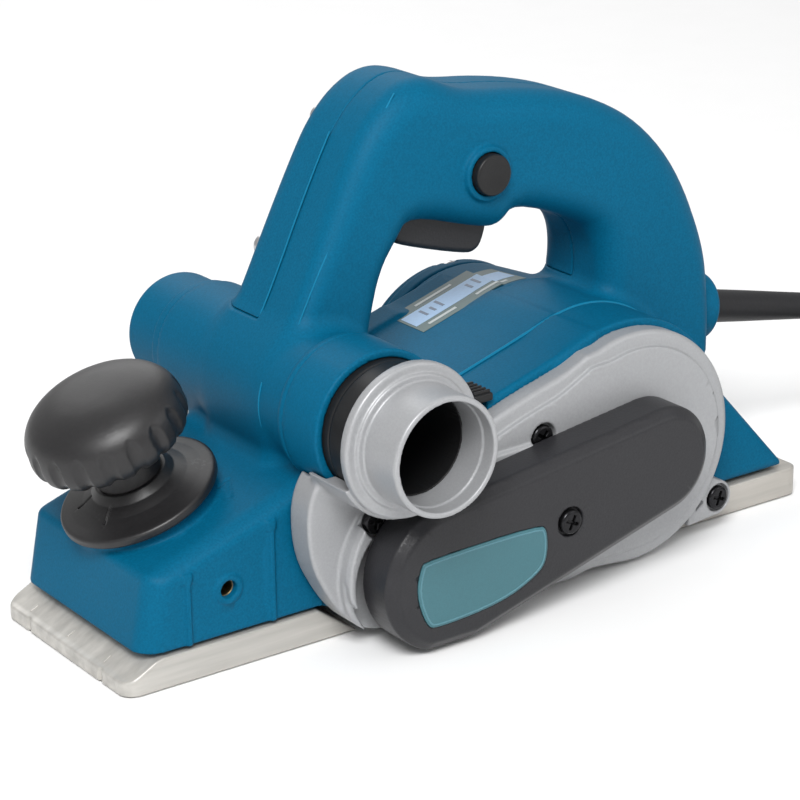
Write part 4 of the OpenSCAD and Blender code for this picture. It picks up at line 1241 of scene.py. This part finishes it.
        work.cut(Solid(inner, (-128, -HALF_W, 92), (66, HALF_W, 177)))
        slot = [(-71, 139.5), (-71.5, 118), (-60, 112), (-28.2, 112), (-28.2, 139.5)]
        work.cut(prism(slot, -9.6, 9.6, 0.4), 0.4)
        work.cut(bar(LOCK, -30, -4, 7.5, 0), 0.3)
        work.cut(slab((-66.2, -50, 58), (-59.8, -36.5, 90), 0.2), 0.3)
        work.cut(rod((30, 0, 75.6), (90, 0, 63.6), 6.6, 6.6, 0.3), 0.4)

    def build(self) -> list[bpy.types.Object]:
        """Shape the shell and part it into the main shell, handle cover and drive frame."""
        work = self._outside()
        self._details(work)
        self._hollow(work)
        low, high = self.cover_heights
        gap = self.seam

        def cover(x: np.ndarray, y: np.ndarray, z: np.ndarray) -> np.ndarray:
            """Negative on the handle cover's side of its joint."""
            return np.maximum(-y, np.where(x < -50, low, high) - z)

        def drive(x: np.ndarray, y: np.ndarray, z: np.ndarray) -> np.ndarray:
            """Negative on the drive frame's side of its joint."""
            clear_of_duct = 25.5 - np.hypot(x - DUCT[0], z - DUCT[1])
            return np.maximum(np.maximum(y - FRAME_Y, clear_of_duct), -122.0 - x)

        right = work.copy().trim(lambda x, y, z: cover(x, y, z) + gap, 0.3)
        left = work.copy().trim(lambda x, y, z: drive(x, y, z) + gap, 0.2)
        work.trim(lambda x, y, z: gap - cover(x, y, z), 0.3)
        work.trim(lambda x, y, z: gap - drive(x, y, z), 0.2)
        main = settle(
            work.finish("main_shell", 0.01), "body", "blue_shell", "main_housing", "front_housing",
            "duct_housing", "handle_left", finish=BLUE,
        )
        cover_piece = settle(
            right.finish("handle_cover", 0.01), "body", "blue_shell", "handle_cover", finish=BLUE
        )
        drive_piece = settle(
            left.finish("drive_frame", 0.01), "body", "blue_shell", "drive_frame", finish=BLUE
        )
        return [main, cover_piece, drive_piece, self._duct_cap(), self._motor_cap(), *self._lines()]

    def _duct_cap(self) -> bpy.types.Object:
        """Cap that closes the duct's right end."""
        work = Workpiece((-132, 38, 55), (-86, 72.5, 101), 0.6)
        work.join(bar(DUCT, 46.4, 71, 20, 3.0))
        work.join(bar(DUCT, 46.4, 51, 21.6, 0.8), 0.8)
        work.join(bar(DUCT, 40, 47, 18.4, 0.2))
        work.cut(bar(DUCT, 30, 66, 16.4, 1.0))
        return settle(work.finish("duct_cap"), "body", "blue_shell", "duct_cap", finish=BLUE)

    def _motor_cap(self) -> bpy.types.Object:
        """Stepped end cap of the motor barrel, with air slots and three screw pockets."""
        work = Workpiece((-44, 44, 11), (42.5, 62.5, 87.5), 0.6)
        for y0, y1, r in ((46.3, 53, CAP_R), (50, 57, CAP_R - 1.5), (55, 61, CAP_R - 5)):
            work.join(self._above_floor(bar(MOTOR, y0, y1, r, 1.6)), 1.0)
        work.cut(over(bar(MOTOR, 40, 57.5, 33, 0.5), 15.5))
        work.join(bar(MOTOR, 50.6, 59, 17, 0.3))
        work.cut(bar(MOTOR, 40, 58.5, 11.2, 0.2))
        for i in range(-3, 4):
            x, tall = MOTOR[0] + 7.5 * i, math.sqrt(29**2 - (7.5 * i) ** 2) - 16
            z = MOTOR[1] + 18
            work.cut(slab((x - 1.6, 50, z), (x + 1.6, 64, z + tall), 1.2), 0.4)
        for a in CAP_SCREW_ANGLES:
            centre = polar(MOTOR, CAP_SCREW_R, a)
            work.cut(bar(centre, 50.4, 64, 4.4, 0.2), 0.4)
            work.cut(bar(centre, 40, 54, 2.2, 0))
        return settle(work.finish("motor_cap"), "body", "blue_shell", "motor_cap", finish=BLUE)

    def _lines(self) -> list[bpy.types.Object]:
        """Fine raised parting lines on the handle's strut, the duct and the barrel, coloured a lighter
        blue as a painted highlight along each ridge.
        """
        front = [
            (-127.75, 79), (-123.6, 90.6), (-112.0, 112.3), (-102.2, 133.2), (-94, 149.4), (-88.2, 160),
        ]
        seam = [(x - 0.05, 0.0, z + 0.03) for x, z in eased(front, 2, closed=False)]
        crease = [
            (-73, -15.6, 173.6), (-84, -17.5, 161), (-97.2, -18.7, 135), (-111.6, -19.0, 110),
            (-124.2, -19.2, 84),
        ]
        ramp = [(-84, FRAME_Y, 65.6), (-60, FRAME_Y, 72.9), (-30, FRAME_Y, 82.2), (-17, FRAME_Y, 86.5)]
        duct = [(x, -19.3, z) for x, z in (polar(DUCT, 22.55, a) for a in range(158, 232, 8))]
        top = [(x, FRAME_Y, z) for x, z in (polar(MOTOR, 44.75, a) for a in range(104, -24, -8))]
        out = []
        lines = (
            ("strut_seam", seam, 0.28), ("strut_crease", crease, 0.28), ("duct_crease", duct, 0.28),
            ("ramp_seam", [*ramp, *top], 0.55),
        )
        for name, line, r in lines:
            path = smooth_path(line, 2)
            obj = place(name, tube_mesh(name, path, [r] * len(path), 8))
            out.append(settle(obj, "body", "blue_shell", finish=PAINTED_HIGHLIGHT_BLUE))
        return out


# ---------------------------------------------------------------- casting, sleeve, belt cover


COVER_PROFILE = [
    (-134.4, 34), (-135.6, 50), (-132.8, 60), (-126, 67.5), (-109, 62), (-80, 62), (-56, 72), (-30, 79),
    (-18, 84), (-1, 60), (10, 2.2), (-92, 1.6), (-112, 4.2), (-121.4, 11.5), (-128, 21),
]


@dataclass
class Casting:
    """Grey casting on the belt side: stepped cover plate, front lobe, lug and hose nozzle."""

    step: float = 0.6
    disc_r: float = 42.4
    inset: float = 5.5
    lug: Point2 = (42.0, 13.9)
    tube_r: float = 20.1
    bore_r: float = 18.1
    flange_r: float = 26.0
    tip_y: float = -93.0

    def _flat(self, x: np.ndarray, z: np.ndarray) -> np.ndarray:
        """Distance in the XZ plane to the plate's edge."""
        plate = outline_distance(x, z, eased(COVER_PROFILE, 2))
        disc = np.hypot(x - MOTOR[0], z - MOTOR[1]) - self.disc_r
        return soft_or(plate, disc, 4.0)

    def _plate(self) -> Solid:
        """Plate with a rounded outer band and a raised middle."""

        def rule(x: np.ndarray, y: np.ndarray, z: np.ndarray) -> np.ndarray:
            """Distance to the stepped plate."""
            flat = self._flat(x, z)
            band = soft_and(flat, np.maximum(-56.3 - y, y + 41.3), 1.8)
            middle = soft_and(flat + self.inset, np.maximum(COVER_Y - y, y + 45.0), 0.35)
            return np.minimum(band, middle)

        return Solid(rule, (-140, COVER_Y, 1), (42, -41.3, 87.5))

    def build(self) -> bpy.types.Object:
        """Make the casting."""
        work = Workpiece((-142, -94.5, 0.6), (50.5, -40, 106), self.step)
        work.join(self._plate())
        around = cover_line(31.5, 14.5)

        def band(x: np.ndarray, y: np.ndarray, z: np.ndarray) -> np.ndarray:
            """Distance to the raised band round the belt cover."""
            wall = np.maximum(outline_distance(x, z, around), self._flat(x, z) + 3.5)
            return soft_and(wall, np.maximum(-59.4 - y, y + 50.0), 0.9)

        work.join(Solid(band, (-130, -59.4, 1), (24, -50, 68)), 0.8)

        def pocket(x: np.ndarray, y: np.ndarray, z: np.ndarray) -> np.ndarray:
            """Distance to what is cut away in front of the band."""
            clear = 0.2 - outline_distance(x, z, around)
            return soft_and(np.maximum(clear, x + 104), y + 53.0, 0.9)

        work.cut(Solid(pocket, (-142, -64, 0.6), (-104, -53, 72)), 1.2)
        work.cut(slab((-121.5, -48.9, 12.25), (60, -30, 110), 0))
        work.join(bar(self.lug, -52, -41.2, 6.5, 1.0), 0.0)
        work.join(prism([(28, 6), (43, 7.5), (43, 20.3), (28, 30)], -52, -49.0, 0.8), 0.5)
        work.cut(prism([(31.5, 11), (35.4, 13.6), (31.8, 16.8)], -54, -50.5, 0.2), 0.2)
        self._nozzle(work)
        for x, y, z in SCREW_SEATS:
            work.cut(bar((x, z), -70, y, 5.3, 0.1), 0.5)
            work.cut(bar((x, z), -70, -40, 2.2, 0))
        room = drive_line(24.4, 15.9)
        work.cut(prism(room, -64, -51.5, 0.2))
        work.join(bar(COVER_SCREW, -57.8, -50, 5.0, 0.4))
        work.cut(bar(DRUM, -60, -38, 8.2, 0.2))
        work.cut(bar(MOTOR, -60, -38, 8.2, 0.2))
        casting = work.finish("side_casting", 0.01)
        return settle(casting, "body", "grey_casting", "side_cover", finish=CAST_GREY)

    def _nozzle(self, work: Workpiece) -> None:
        """Flange and hose tube, with the neck that carries them."""

        def neck(x: np.ndarray, y: np.ndarray, z: np.ndarray) -> np.ndarray:
            """Distance to the neck under the nozzle."""
            round_part = np.hypot(x - DUCT[0], z - DUCT[1]) - 27.2
            lip = np.maximum(z - 65.5, FLANGE_Y - 0.6 - y)
            return soft_and(np.maximum(round_part, lip), y + 50, 0.8)

        work.join(Solid(neck, (-137, FLANGE_Y - 0.6, 50), (-81, -50, 66)), 2.0)
        work.join(bar(DUCT, FLANGE_Y - 4.0, FLANGE_Y, self.flange_r, 1.1), 0.5)
        work.join(bar(DUCT, FLANGE_Y - 5.2, FLANGE_Y - 2, 22.6, 0.7), 0.4)
        work.join(bar(DUCT, self.tip_y, FLANGE_Y - 3, self.tube_r, 0.8), 0.6)
        work.cut(bar(DUCT, -96, -38, self.bore_r - 0.5, 0), 0.7)
        work.cut(bar(DUCT, -96, self.tip_y + 5.5, self.bore_r, 0), 0.3)
        work.cut(bar(DUCT, FLANGE_Y - 2, -38, 22.6, 0))
        work.cut(bar(DUCT, -58, -38, 25.8, 0), 0.4)


@dataclass
class DuctSleeve:
    """Black sleeve between the duct and the nozzle, with a thin liner inside the nozzle."""

    def build(self) -> bpy.types.Object:
        """Make the sleeve."""
        work = Workpiece((-133, -86.5, 54), (-85, -44, 102), 0.5)
        work.join(bar(DUCT, FLANGE_Y - 1.8, -46, 22.45, 0.3))
        work.join(bar(DUCT, -77.5, -60, 17.5, 0.3))
        for y in (-60.0,):
            work.cut(Solid(self._groove(y), (-133, y - 1, 54), (-85, y + 1, 102)), 0.1)
        work.cut(bar(DUCT, -90, -40, 16.9, 0), 0.4)
        return settle(work.finish("duct_sleeve"), "body", "black_plastic", "duct_sleeve", finish=BLACK)

    @staticmethod
    def _groove(y0: float) -> Rule:
        """Thin groove round the sleeve."""

        def rule(x: np.ndarray, y: np.ndarray, z: np.ndarray) -> np.ndarray:
            """Distance to the groove."""
            return np.hypot(y - y0, np.hypot(x - DUCT[0], z - DUCT[1]) - 22.6) - 0.4

        return rule


BADGE_OUTLINE = [
    (-108, 24), (-106, 33), (-104, 35), (-57, 36), (-54, 33), (-54, 23), (-58, 18), (-73, 12),
    (-100, 10), (-104, 12),
]


@dataclass
class BeltCover:
    """Dark cover over the drive belt, with a blank foil badge set into its face."""

    step: float = 0.5
    bevel: float = 3.6
    end_r: float = 25.7
    motor_r: float = 19.5

    def build(self) -> list[bpy.types.Object]:
        """Make the cover and its badge."""
        line = cover_line(self.end_r, self.motor_r)

        def rule(x: np.ndarray, y: np.ndarray, z: np.ndarray) -> np.ndarray:
            """Distance to the bevelled cover."""
            flat = soft_and(outline_distance(x, z, line), 1.6 - z, 1.0)
            slope = (flat * 3.0 + (-71.0 - y) * self.bevel) / math.hypot(3.0, self.bevel)
            body = soft_and(slope, BELT_COVER_Y - y, 0.4)
            return np.maximum(soft_and(flat, body, 0.45), y + 58.2)

        work = Workpiece((-127, -75, 0.6), (20.5, -57.2, 65.5), self.step)
        work.join(Solid(rule, (-126, BELT_COVER_Y, 1), (20, -58, 65)))
        work.cut(Solid(
            lambda x, y, z: np.maximum(
                np.maximum(outline_distance(x, z, cover_line(24.7, 17.2)), -69.6 - y), 3.2 - z
            ),
            (-118, -69.6, 3), (17, -57, 62),
        ))
        work.join(bar(COVER_SCREW, -72.5, -58.3, 4.9, 0.2))
        work.cut(bar(DRUM, -71.8, -60, 9.0, 0))
        work.cut(bar(COVER_SCREW, -80, -71.9, 5.2, 0.2), 0.5)
        work.cut(bar(COVER_SCREW, -80, -56, 2.2, 0))
        work.cut(bar(DUCT, -80, -56, 27.8, 0), 0.6)
        work.cut(prism(eased(BADGE_OUTLINE, 2), -76, -73.4, 0.1), 0.15)
        cover = work.finish("belt_cover", 0.01)
        settle(cover, "body", "black_plastic", "belt_cover", finish=COVER_BLACK)
        return [cover, *self._badge()]

    def _badge(self) -> list[bpy.types.Object]:
        """Blank foil badge and its lighter border."""
        outline = eased(BADGE_OUTLINE, 2)
        work = Workpiece((-109, -75, 9), (-53, -72.5, 37), 0.35)
        work.join(prism(outline, -74.25, -73.42, 0.25))
        badge = settle(work.finish("badge", 0.01), "body", "badge_foil", "belt_cover_badge", finish=BADGE)

        def frame_rule(x: np.ndarray, y: np.ndarray, z: np.ndarray) -> np.ndarray:
            """Distance to the badge's border."""
            flat = outline_distance(x, z, outline)
            ring = np.abs(flat + 1.1) - 0.32
            return soft_and(ring, np.maximum(-74.38 - y, y + 74.0), 0.05)

        edge = Workpiece((-109, -75, 9), (-53, -73.5, 37), 0.22)
        edge.join(Solid(frame_rule, (-108.5, -74.4, 9.5), (-53.5, -74, 36.5)))
        border = settle(edge.finish("badge_border"), "body", "badge_foil", finish=BADGE_EDGE)
        return [badge, border]


# ---------------------------------------------------------------- knob, soles, controls, label


def to_knob() -> Matrix:
    """Matrix from the knob's own frame, its Z along the leaning axis, to the row frame."""
    up, along = Vector((-math.sin(KNOB_LEAN), 0, math.cos(KNOB_LEAN))), Vector((0, 1, 0))
    forward = along.cross(up)
    turn = Matrix((forward, along, up)).transposed().to_4x4()
    return Matrix.Translation(Vector((SEAT[0], 0, SEAT[1])) * MM) @ turn


@dataclass
class DepthKnob:
    """Fluted depth knob with its dished scale ring."""

    flutes: int = 18
    flute_depth: float = 0.95
    top: float = 44.4

    def build(self) -> list[bpy.types.Object]:
        """Make the knob head and the scale ring."""
        head_line = eased([
            (0, 19.6), (13, 19.6), (20, 21.2), (25.2, 23.0), (27.4, 26.5), (27.4, 31.5), (26.2, 36.2),
            (22.5, 40.4), (16, 43.2), (8, self.top), (-8, self.top), (-16, 43.2), (-8, 19.6),
        ], 2)

        def head(x: np.ndarray, y: np.ndarray, z: np.ndarray) -> np.ndarray:
            """Distance to the fluted head."""
            r = np.hypot(x, y)
            angle = np.arctan2(y, x)
            wave = np.cos(self.flutes * angle)
            valley = np.clip((wave + 0.15) / 1.15, 0, 1) ** 0.8
            top = 35.0 + 1.6 * wave
            mask = np.clip((top - z) / 3.2, 0, 1)
            mask = mask * mask * (3 - 2 * mask) * np.clip((r - 14) / 8, 0, 1)
            return outline_distance(r, z, head_line) + self.flute_depth * valley * mask

        work = Workpiece((-28.4, -28.4, 8), (28.4, 28.4, 45.5), 0.45)
        work.join(Solid(head, (-28, -28, 19), (28, 28, 45)))
        work.join(Solid(lambda x, y, z: np.maximum(np.hypot(x, y) - 11.2, np.abs(z - 16) - 6.5),
                        (-12, -12, 9), (12, 12, 23)), 2.5)
        knob = work.finish("depth_knob", 0.01)
        knob.data.transform(to_knob())
        settle(knob, "depth_knob", "black_plastic", "depth_knob", finish=KNOB_BLACK)
        ring_line = [
            (-6, 0.5), (26.9, 0.5), (27.4, 1.0), (27.4, 3.0), (27.0, 3.6), (26.2, 3.9), (23.0, 4.5),
            (18.5, 5.7), (14.6, 7.6), (12.2, 10.2), (-6, 10.2),
        ]
        ring = Workpiece((-28.4, -28.4, -0.6), (28.4, 28.4, 10.6), 0.4)
        ring.join(Solid(
            lambda x, y, z: outline_distance(np.hypot(x, y), z, ring_line), (-28, -28, 0), (28, 28, 10)
        ))
        for a in (155.0, 205.0):
            c, s = math.cos(math.radians(a)), math.sin(math.radians(a))
            ring.cut(rod((14 * c, 14 * s, 7.6), (24 * c, 24 * s, 2.8), 0.45))
        plate = ring.finish("scale_ring")
        plate.data.transform(to_knob())
        settle(plate, "depth_knob", "black_plastic", "scale_ring", finish=KNOB_BLACK)
        return [knob, plate]


@dataclass
class Soles:
    """Front shoe with its thin lip, and the rear base."""

    step: float = 0.6

    def build(self) -> list[bpy.types.Object]:
        """Make both soles and the index ticks on the lip."""
        half = SOLE_W / 2
        side_line = [
            (-215, 0), (-215, 4.7), (-198.5, 4.7), (-196, 5.3), (-186.5, 10.2), (-183.5, BASE_T),
            (-124, BASE_T), (-109, 0),
        ]

        def shoe(x: np.ndarray, y: np.ndarray, z: np.ndarray) -> np.ndarray:
            """Distance to the front shoe."""
            plan = soft_and(NOSE_X - x, np.abs(y) - half, 5.5)
            return soft_and(plan, outline_distance(x, z, side_line), 0.5)

        work = Workpiece((-199.5, -half - 1, -1), (-107.5, half + 1, 12.5), self.step)
        work.join(Solid(shoe, (NOSE_X, -half, 0), (-109, half, BASE_T)))
        for y in (-24, 24):
            work.cut(rod((NOSE_X - 0.2, y, -1), (NOSE_X - 0.2, y, 12), 1.1), 0.3)
        front = work.finish("front_shoe", 0.01)
        settle(front, "front_shoe", "base_metal", "front_shoe", finish=MILLED)

        def base(x: np.ndarray, y: np.ndarray, z: np.ndarray) -> np.ndarray:
            """Distance to the rear base."""
            plan = soft_and(x - TAIL_X, np.abs(y) - half, 4.0)
            plan = np.maximum(plan, -92.0 - x)
            return soft_and(plan, np.maximum(-z, z - BASE_T), 0.5)

        work = Workpiece((-93.5, -half - 1, -1), (TAIL_X + 1.2, half + 1, 13.5), self.step)
        work.join(Solid(base, (-92, -half, 0), (TAIL_X, half, BASE_T)))
        for side in (-30, 30):
            work.join(slab((-60, side - 4, 9), (40, side + 4, 12.3), 0.3))
        work.cut(bar(DRUM, -60, 60, 25.0, 0), 0.4)
        for x in (-50, 30):
            for side in (-30, 30):
                work.cut(rod((x, side, -2), (x, side, 4.2), 4.6, edge=0.2), 0.3)
        rear = settle(work.finish("rear_base", 0.01), "body", "base_metal", "rear_base", finish=MILLED)
        return [front, rear, self._ticks()]

    def _ticks(self) -> bpy.types.Object:
        """Plain index ticks raised on the lip's top."""
        proto = Workpiece((-2.5, -1.2, -0.6), (2.5, 1.2, 0.8), 0.16)
        proto.join(slab((-1.7, -0.35, -0.3), (1.7, 0.35, 0.3), 0.15))
        tick = proto.finish("tick prototype")
        turns = ((-22.0, 8.0), (2.0, 0.0), (27.0, -6.0))
        places = [((-193.8, y, 6.45), (0.0, -27.0, a)) for y, a in turns]
        ticks = SCATTER.build("lip_ticks", tick, places, MILLED)
        drop(tick)
        return settle(ticks, "front_shoe", "base_metal")


@dataclass
class Controls:
    """Trigger, lock button and the chip side selector's tab."""

    def build(self) -> list[bpy.types.Object]:
        """Make the three controls."""
        outline = eased([
            (-68.5, 133.5), (-69.5, 121), (-66, 118.2), (-38, 110), (-34, 110.6), (-31.5, 113),
            (-29.2, 120), (-29.2, 130.4), (-40, 131.5), (-60, 134.5),
        ], 2)
        work = Workpiece((-71, -10.2, 108.5), (-28, 10.2, 136), 0.45)
        work.join(prism(outline, -9, 9, 2.2))
        hollow = [(-60, 137), (-60, 121.5), (-38, 116), (-34, 118), (-34, 137)]
        work.cut(prism(hollow, -7, 7, 0.5), 0.2)
        work.cut(bar((-65, 131.5), -20, 20, 1.6, 0))
        trigger = work.finish("trigger")
        settle(trigger, "trigger", "grey_plastic", "trigger", finish=CONTROL_GREY)
        work = Workpiece((-47, -26.4, 134), (-31, -11.5, 150), 0.3)
        work.join(bar(LOCK, -25.6, -12.5, 7.2, 0.9))
        work.cut(ball((LOCK[0], -44.9, LOCK[1]), 20.0), 0.5)
        work.cut(bar(LOCK, -16, -11, 4.4, 0))
        button = work.finish("lock_button")
        settle(button, "lock_button", "black_plastic", "lock_button", finish=BLACK)
        work = Workpiece((-68, -52, 61), (-58, -36, 78.5), 0.3)
        work.join(slab((-67, -51, 73.6), (-59, -37, 76.5), 0.7))
        work.join(slab((-65, -46, 63.5), (-61, -40, 74.5), 0.4))
        work.join(slab((-66, -47, 62), (-60, -39, 67), 0.5))
        tab = work.finish("chip_selector")
        settle(tab, "chip_selector", "black_plastic", "chip_selector", finish=BLACK)
        proto = Workpiece((-4.2, -1.2, -1.0), (4.2, 1.2, 1.6), 0.2)
        proto.join(slab((-3.5, -0.55, -0.4), (3.5, 0.55, 0.95), 0.4))
        ridge = proto.finish("ridge prototype")
        places = [((-63.0, -49.45 + 2.3 * i, 76.5), (0.0, 0.0, 0.0)) for i in range(5)]
        ridges = SCATTER.build("selector_ridges", ridge, places, BLACK)
        drop(ridge)
        return [trigger, button, tab, settle(ridges, "chip_selector", "black_plastic")]


def crown(x: float, y: float) -> float:
    """Height of the blue skin at a point of the ramp or of the barrel's top."""
    ramp = 66.5 + (x + 80) * (87 - 66.5) / 66 if x < -8 else 0.0
    r = BARREL_R - max(y - 8.0, 0.0) * (BARREL_R - CAP_R) / 38.0
    barrel = MOTOR[1] + math.sqrt(max(r * r - (x - MOTOR[0]) ** 2, 0.0)) if x > -28 else 0.0
    gap = abs(ramp - barrel)
    if gap >= RAMP_FILLET:
        return max(ramp, barrel)
    return (2 * RAMP_FILLET + ramp + barrel - math.sqrt(2 * RAMP_FILLET**2 - gap**2)) / 2


def foil_mesh(name: str, patches: Sequence[Patch], lift: float) -> bpy.types.Mesh:
    """Thin closed patches laid on the ramp and the barrel.

    Args:
        name: Name of the mesh.
        patches: Lowest and highest X, then lowest and highest Y, of each patch.
        lift: Height of the patches' top over the skin.

    Returns:
        The mesh, in metres.
    """
    verts, faces = [], []
    for x0, x1, y0, y1 in patches:
        xs = np.linspace(x0, x1, max(int((x1 - x0) / 1.2), 2))
        ys = np.linspace(y0, y1, max(int((y1 - y0) / 2.0), 2))
        base, n, m = len(verts), len(xs), len(ys)
        for h in (lift - 0.4, lift):
            verts += [(x * MM, y * MM, (crown(x, y) + h) * MM) for x in xs for y in ys]

        def at(i: int, j: int, k: int) -> int:
            """Number of the corner in column i and row j, under (0) or on top (1)."""
            return base + k * n * m + i * m + j

        for i in range(n - 1):
            for j in range(m - 1):
                faces.append([at(i, j, 1), at(i + 1, j, 1), at(i + 1, j + 1, 1), at(i, j + 1, 1)])
                faces.append([at(i, j, 0), at(i, j + 1, 0), at(i + 1, j + 1, 0), at(i + 1, j, 0)])
        for i in range(n - 1):
            faces.append([at(i, 0, 0), at(i + 1, 0, 0), at(i + 1, 0, 1), at(i, 0, 1)])
            faces.append([at(i + 1, m - 1, 0), at(i, m - 1, 0), at(i, m - 1, 1), at(i + 1, m - 1, 1)])
        for j in range(m - 1):
            faces.append([at(0, j + 1, 0), at(0, j, 0), at(0, j, 1), at(0, j + 1, 1)])
            faces.append([at(n - 1, j, 0), at(n - 1, j + 1, 0), at(n - 1, j + 1, 1), at(n - 1, j, 1)])
    mesh = bpy.data.meshes.new(name)
    mesh.from_pydata(verts, [], faces)
    fix_facing(mesh)
    return mesh


@dataclass
class RatingLabel:
    """Foil label over the ramp and barrel, with plain bands and bars in place of print."""

    low: Point2 = (-43.5, 10.0)
    high: Point2 = (2.5, 31.0)

    def build(self) -> list[bpy.types.Object]:
        """Make the foil, its light field and its bars."""
        (x0, y0), (x1, y1) = self.low, self.high
        bars = [(x, x + 1.1, y, y + w) for x, y, w in (
            (-36, 18.4, 5.2), (-32.5, 18.4, 3.8), (-29, 18.4, 5.6), (-16, 18.4, 4.4), (-12.5, 18.4, 5.6),
        )]
        marks = [(x, x + w, y, y + 1.3) for x, w, y in (
            (-39, 12, 12.4), (-18, 14, 12.4), (-34, 16, 27.6),
        )]
        parts = []
        for name, finish, patches, lift in (
            ("rating_label", LABEL_BAND, [(x0, x1, y0, y1)], 0.18),
            ("label_field", LABEL_FIELD, [(x0 + 1, x1 - 1, y0 + 5.6, y1 - 5.8)], 0.26),
            ("label_bars", LABEL_INK, bars, 0.32),
            ("label_marks", LABEL_MARK, marks, 0.26),
        ):
            obj = place(name, foil_mesh(name, patches, lift))
            nodes = ("rating_label",) if name == "rating_label" else ()
            parts.append(settle(obj, "body", "label_foil", *nodes, finish=finish))
        return parts


@dataclass
class InnerWorks:
    """Finishes of the inner pieces, whose CAD shapes are shown as they are."""

    finishes: dict[str, Finish] = field(
        default_factory=lambda: {
            "stator_core": STEEL, "stator_coils": COPPER, "brush_holders": BRASS,
            "carbon_brushes": CARBON, "brush_caps": BLACK, "motor_bearings": STEEL,
            "drum_bearings": STEEL, "switch_body": INNER_BLACK, "drive_belt": BELT_RUBBER,
            "shoe_spring": STEEL, "trigger_spring": STEEL, "lock_spring": STEEL,
            "drum_body": MILLED, "drum_blades": BLADE, "blade_clamps": STEEL, "clamp_bolts": SCREW_BLACK,
            "drum_shaft": STEEL, "drum_pulley": INNER_BLACK, "drum_pulley_nut": STEEL,
            "armature_shaft": STEEL, "armature_core": STEEL, "armature_windings": COPPER,
            "commutator": COPPER, "fan": INNER_BLACK, "motor_pulley": INNER_BLACK,
            "motor_pulley_nut": STEEL, "shoe_post": STEEL, "depth_screw": STEEL,
        }
    )

    def dress(self) -> None:
        """Give every shown CAD node its material."""
        for name, finish in self.finishes.items():
            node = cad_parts.get(name)
            if node is not None:
                dress(node, finish)

    def insert(self) -> bpy.types.Object:
        """Threaded insert, set back in its hole."""
        work = Workpiece((-164, -40, 22), (-152.5, -27.5, 34), 0.3)
        work.join(bar(INSERT, -38.5, -28.6, 4.4, 0.3))
        work.cut(bar(INSERT, -42, -29.5, 2.6, 0), 0.4)
        return settle(work.finish("fence_insert"), "body", "brass", "fence_insert", finish=BRASS)


# ---------------------------------------------------------------- studio


@dataclass
class Studio:
    """Pale floor, white surroundings and large soft lights."""

    floor_half: float = 4.0
    world: float = 0.52

    def _light(self, name: str, where: Point3, aim: Point3, size: float, power: float) -> None:
        """Large square light that faces a point."""
        data = bpy.data.lights.new(name, "AREA")
        data.shape, data.size, data.energy = "SQUARE", size, power
        lamp = bpy.data.objects.new(name, data)
        bpy.context.scene.collection.objects.link(lamp)
        way = Vector(aim) - Vector(where)
        lamp.matrix_world = Matrix.Translation(where) @ way.to_track_quat("-Z", "Y").to_matrix().to_4x4()

    def build(self) -> None:
        """Make the floor, the world and the lights."""
        h = self.floor_half
        mesh = bpy.data.meshes.new("floor")
        corners = [(x, y, -0.0004) for x, y in ((-h, -h), (h, -h), (h, h), (-h, h))]
        mesh.from_pydata(corners, [], [(0, 1, 2, 3)])
        floor = place("floor", mesh)
        dress(floor, FLOOR)
        world = bpy.data.worlds.new("studio")
        world.use_nodes = True
        world.node_tree.nodes["Background"].inputs["Color"].default_value = (1, 1, 1, 1)
        world.node_tree.nodes["Background"].inputs["Strength"].default_value = self.world
        bpy.context.scene.world = world
        self._light("key", (-0.85, -1.0, 1.3), (-0.05, 0, 0.08), 0.7, 34)
        self._light("side", (0.9, -1.2, 0.8), (0.0, 0, 0.06), 0.8, 4)
        self._light("back", (0.4, 1.2, 1.1), (0.0, 0, 0.1), 1.2, 8)
        scene = bpy.context.scene
        scene.view_settings.view_transform = "Standard"
        scene.view_settings.exposure = 0.0


def main() -> None:
    """Build the finished planer in the CAD frame."""
    MainView().build()
    MainsLead().build()
    LeadGuard().build()
    BlueShell().build()
    Casting().build()
    DuctSleeve().build()
    BeltCover().build()
    DepthKnob().build()
    Soles().build()
    Controls().build()
    RatingLabel().build()
    Fasteners().build()
    inner = InnerWorks()
    inner.dress()
    inner.insert()
    Studio().build()
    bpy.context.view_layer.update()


if __name__ == "__main__":
    main()
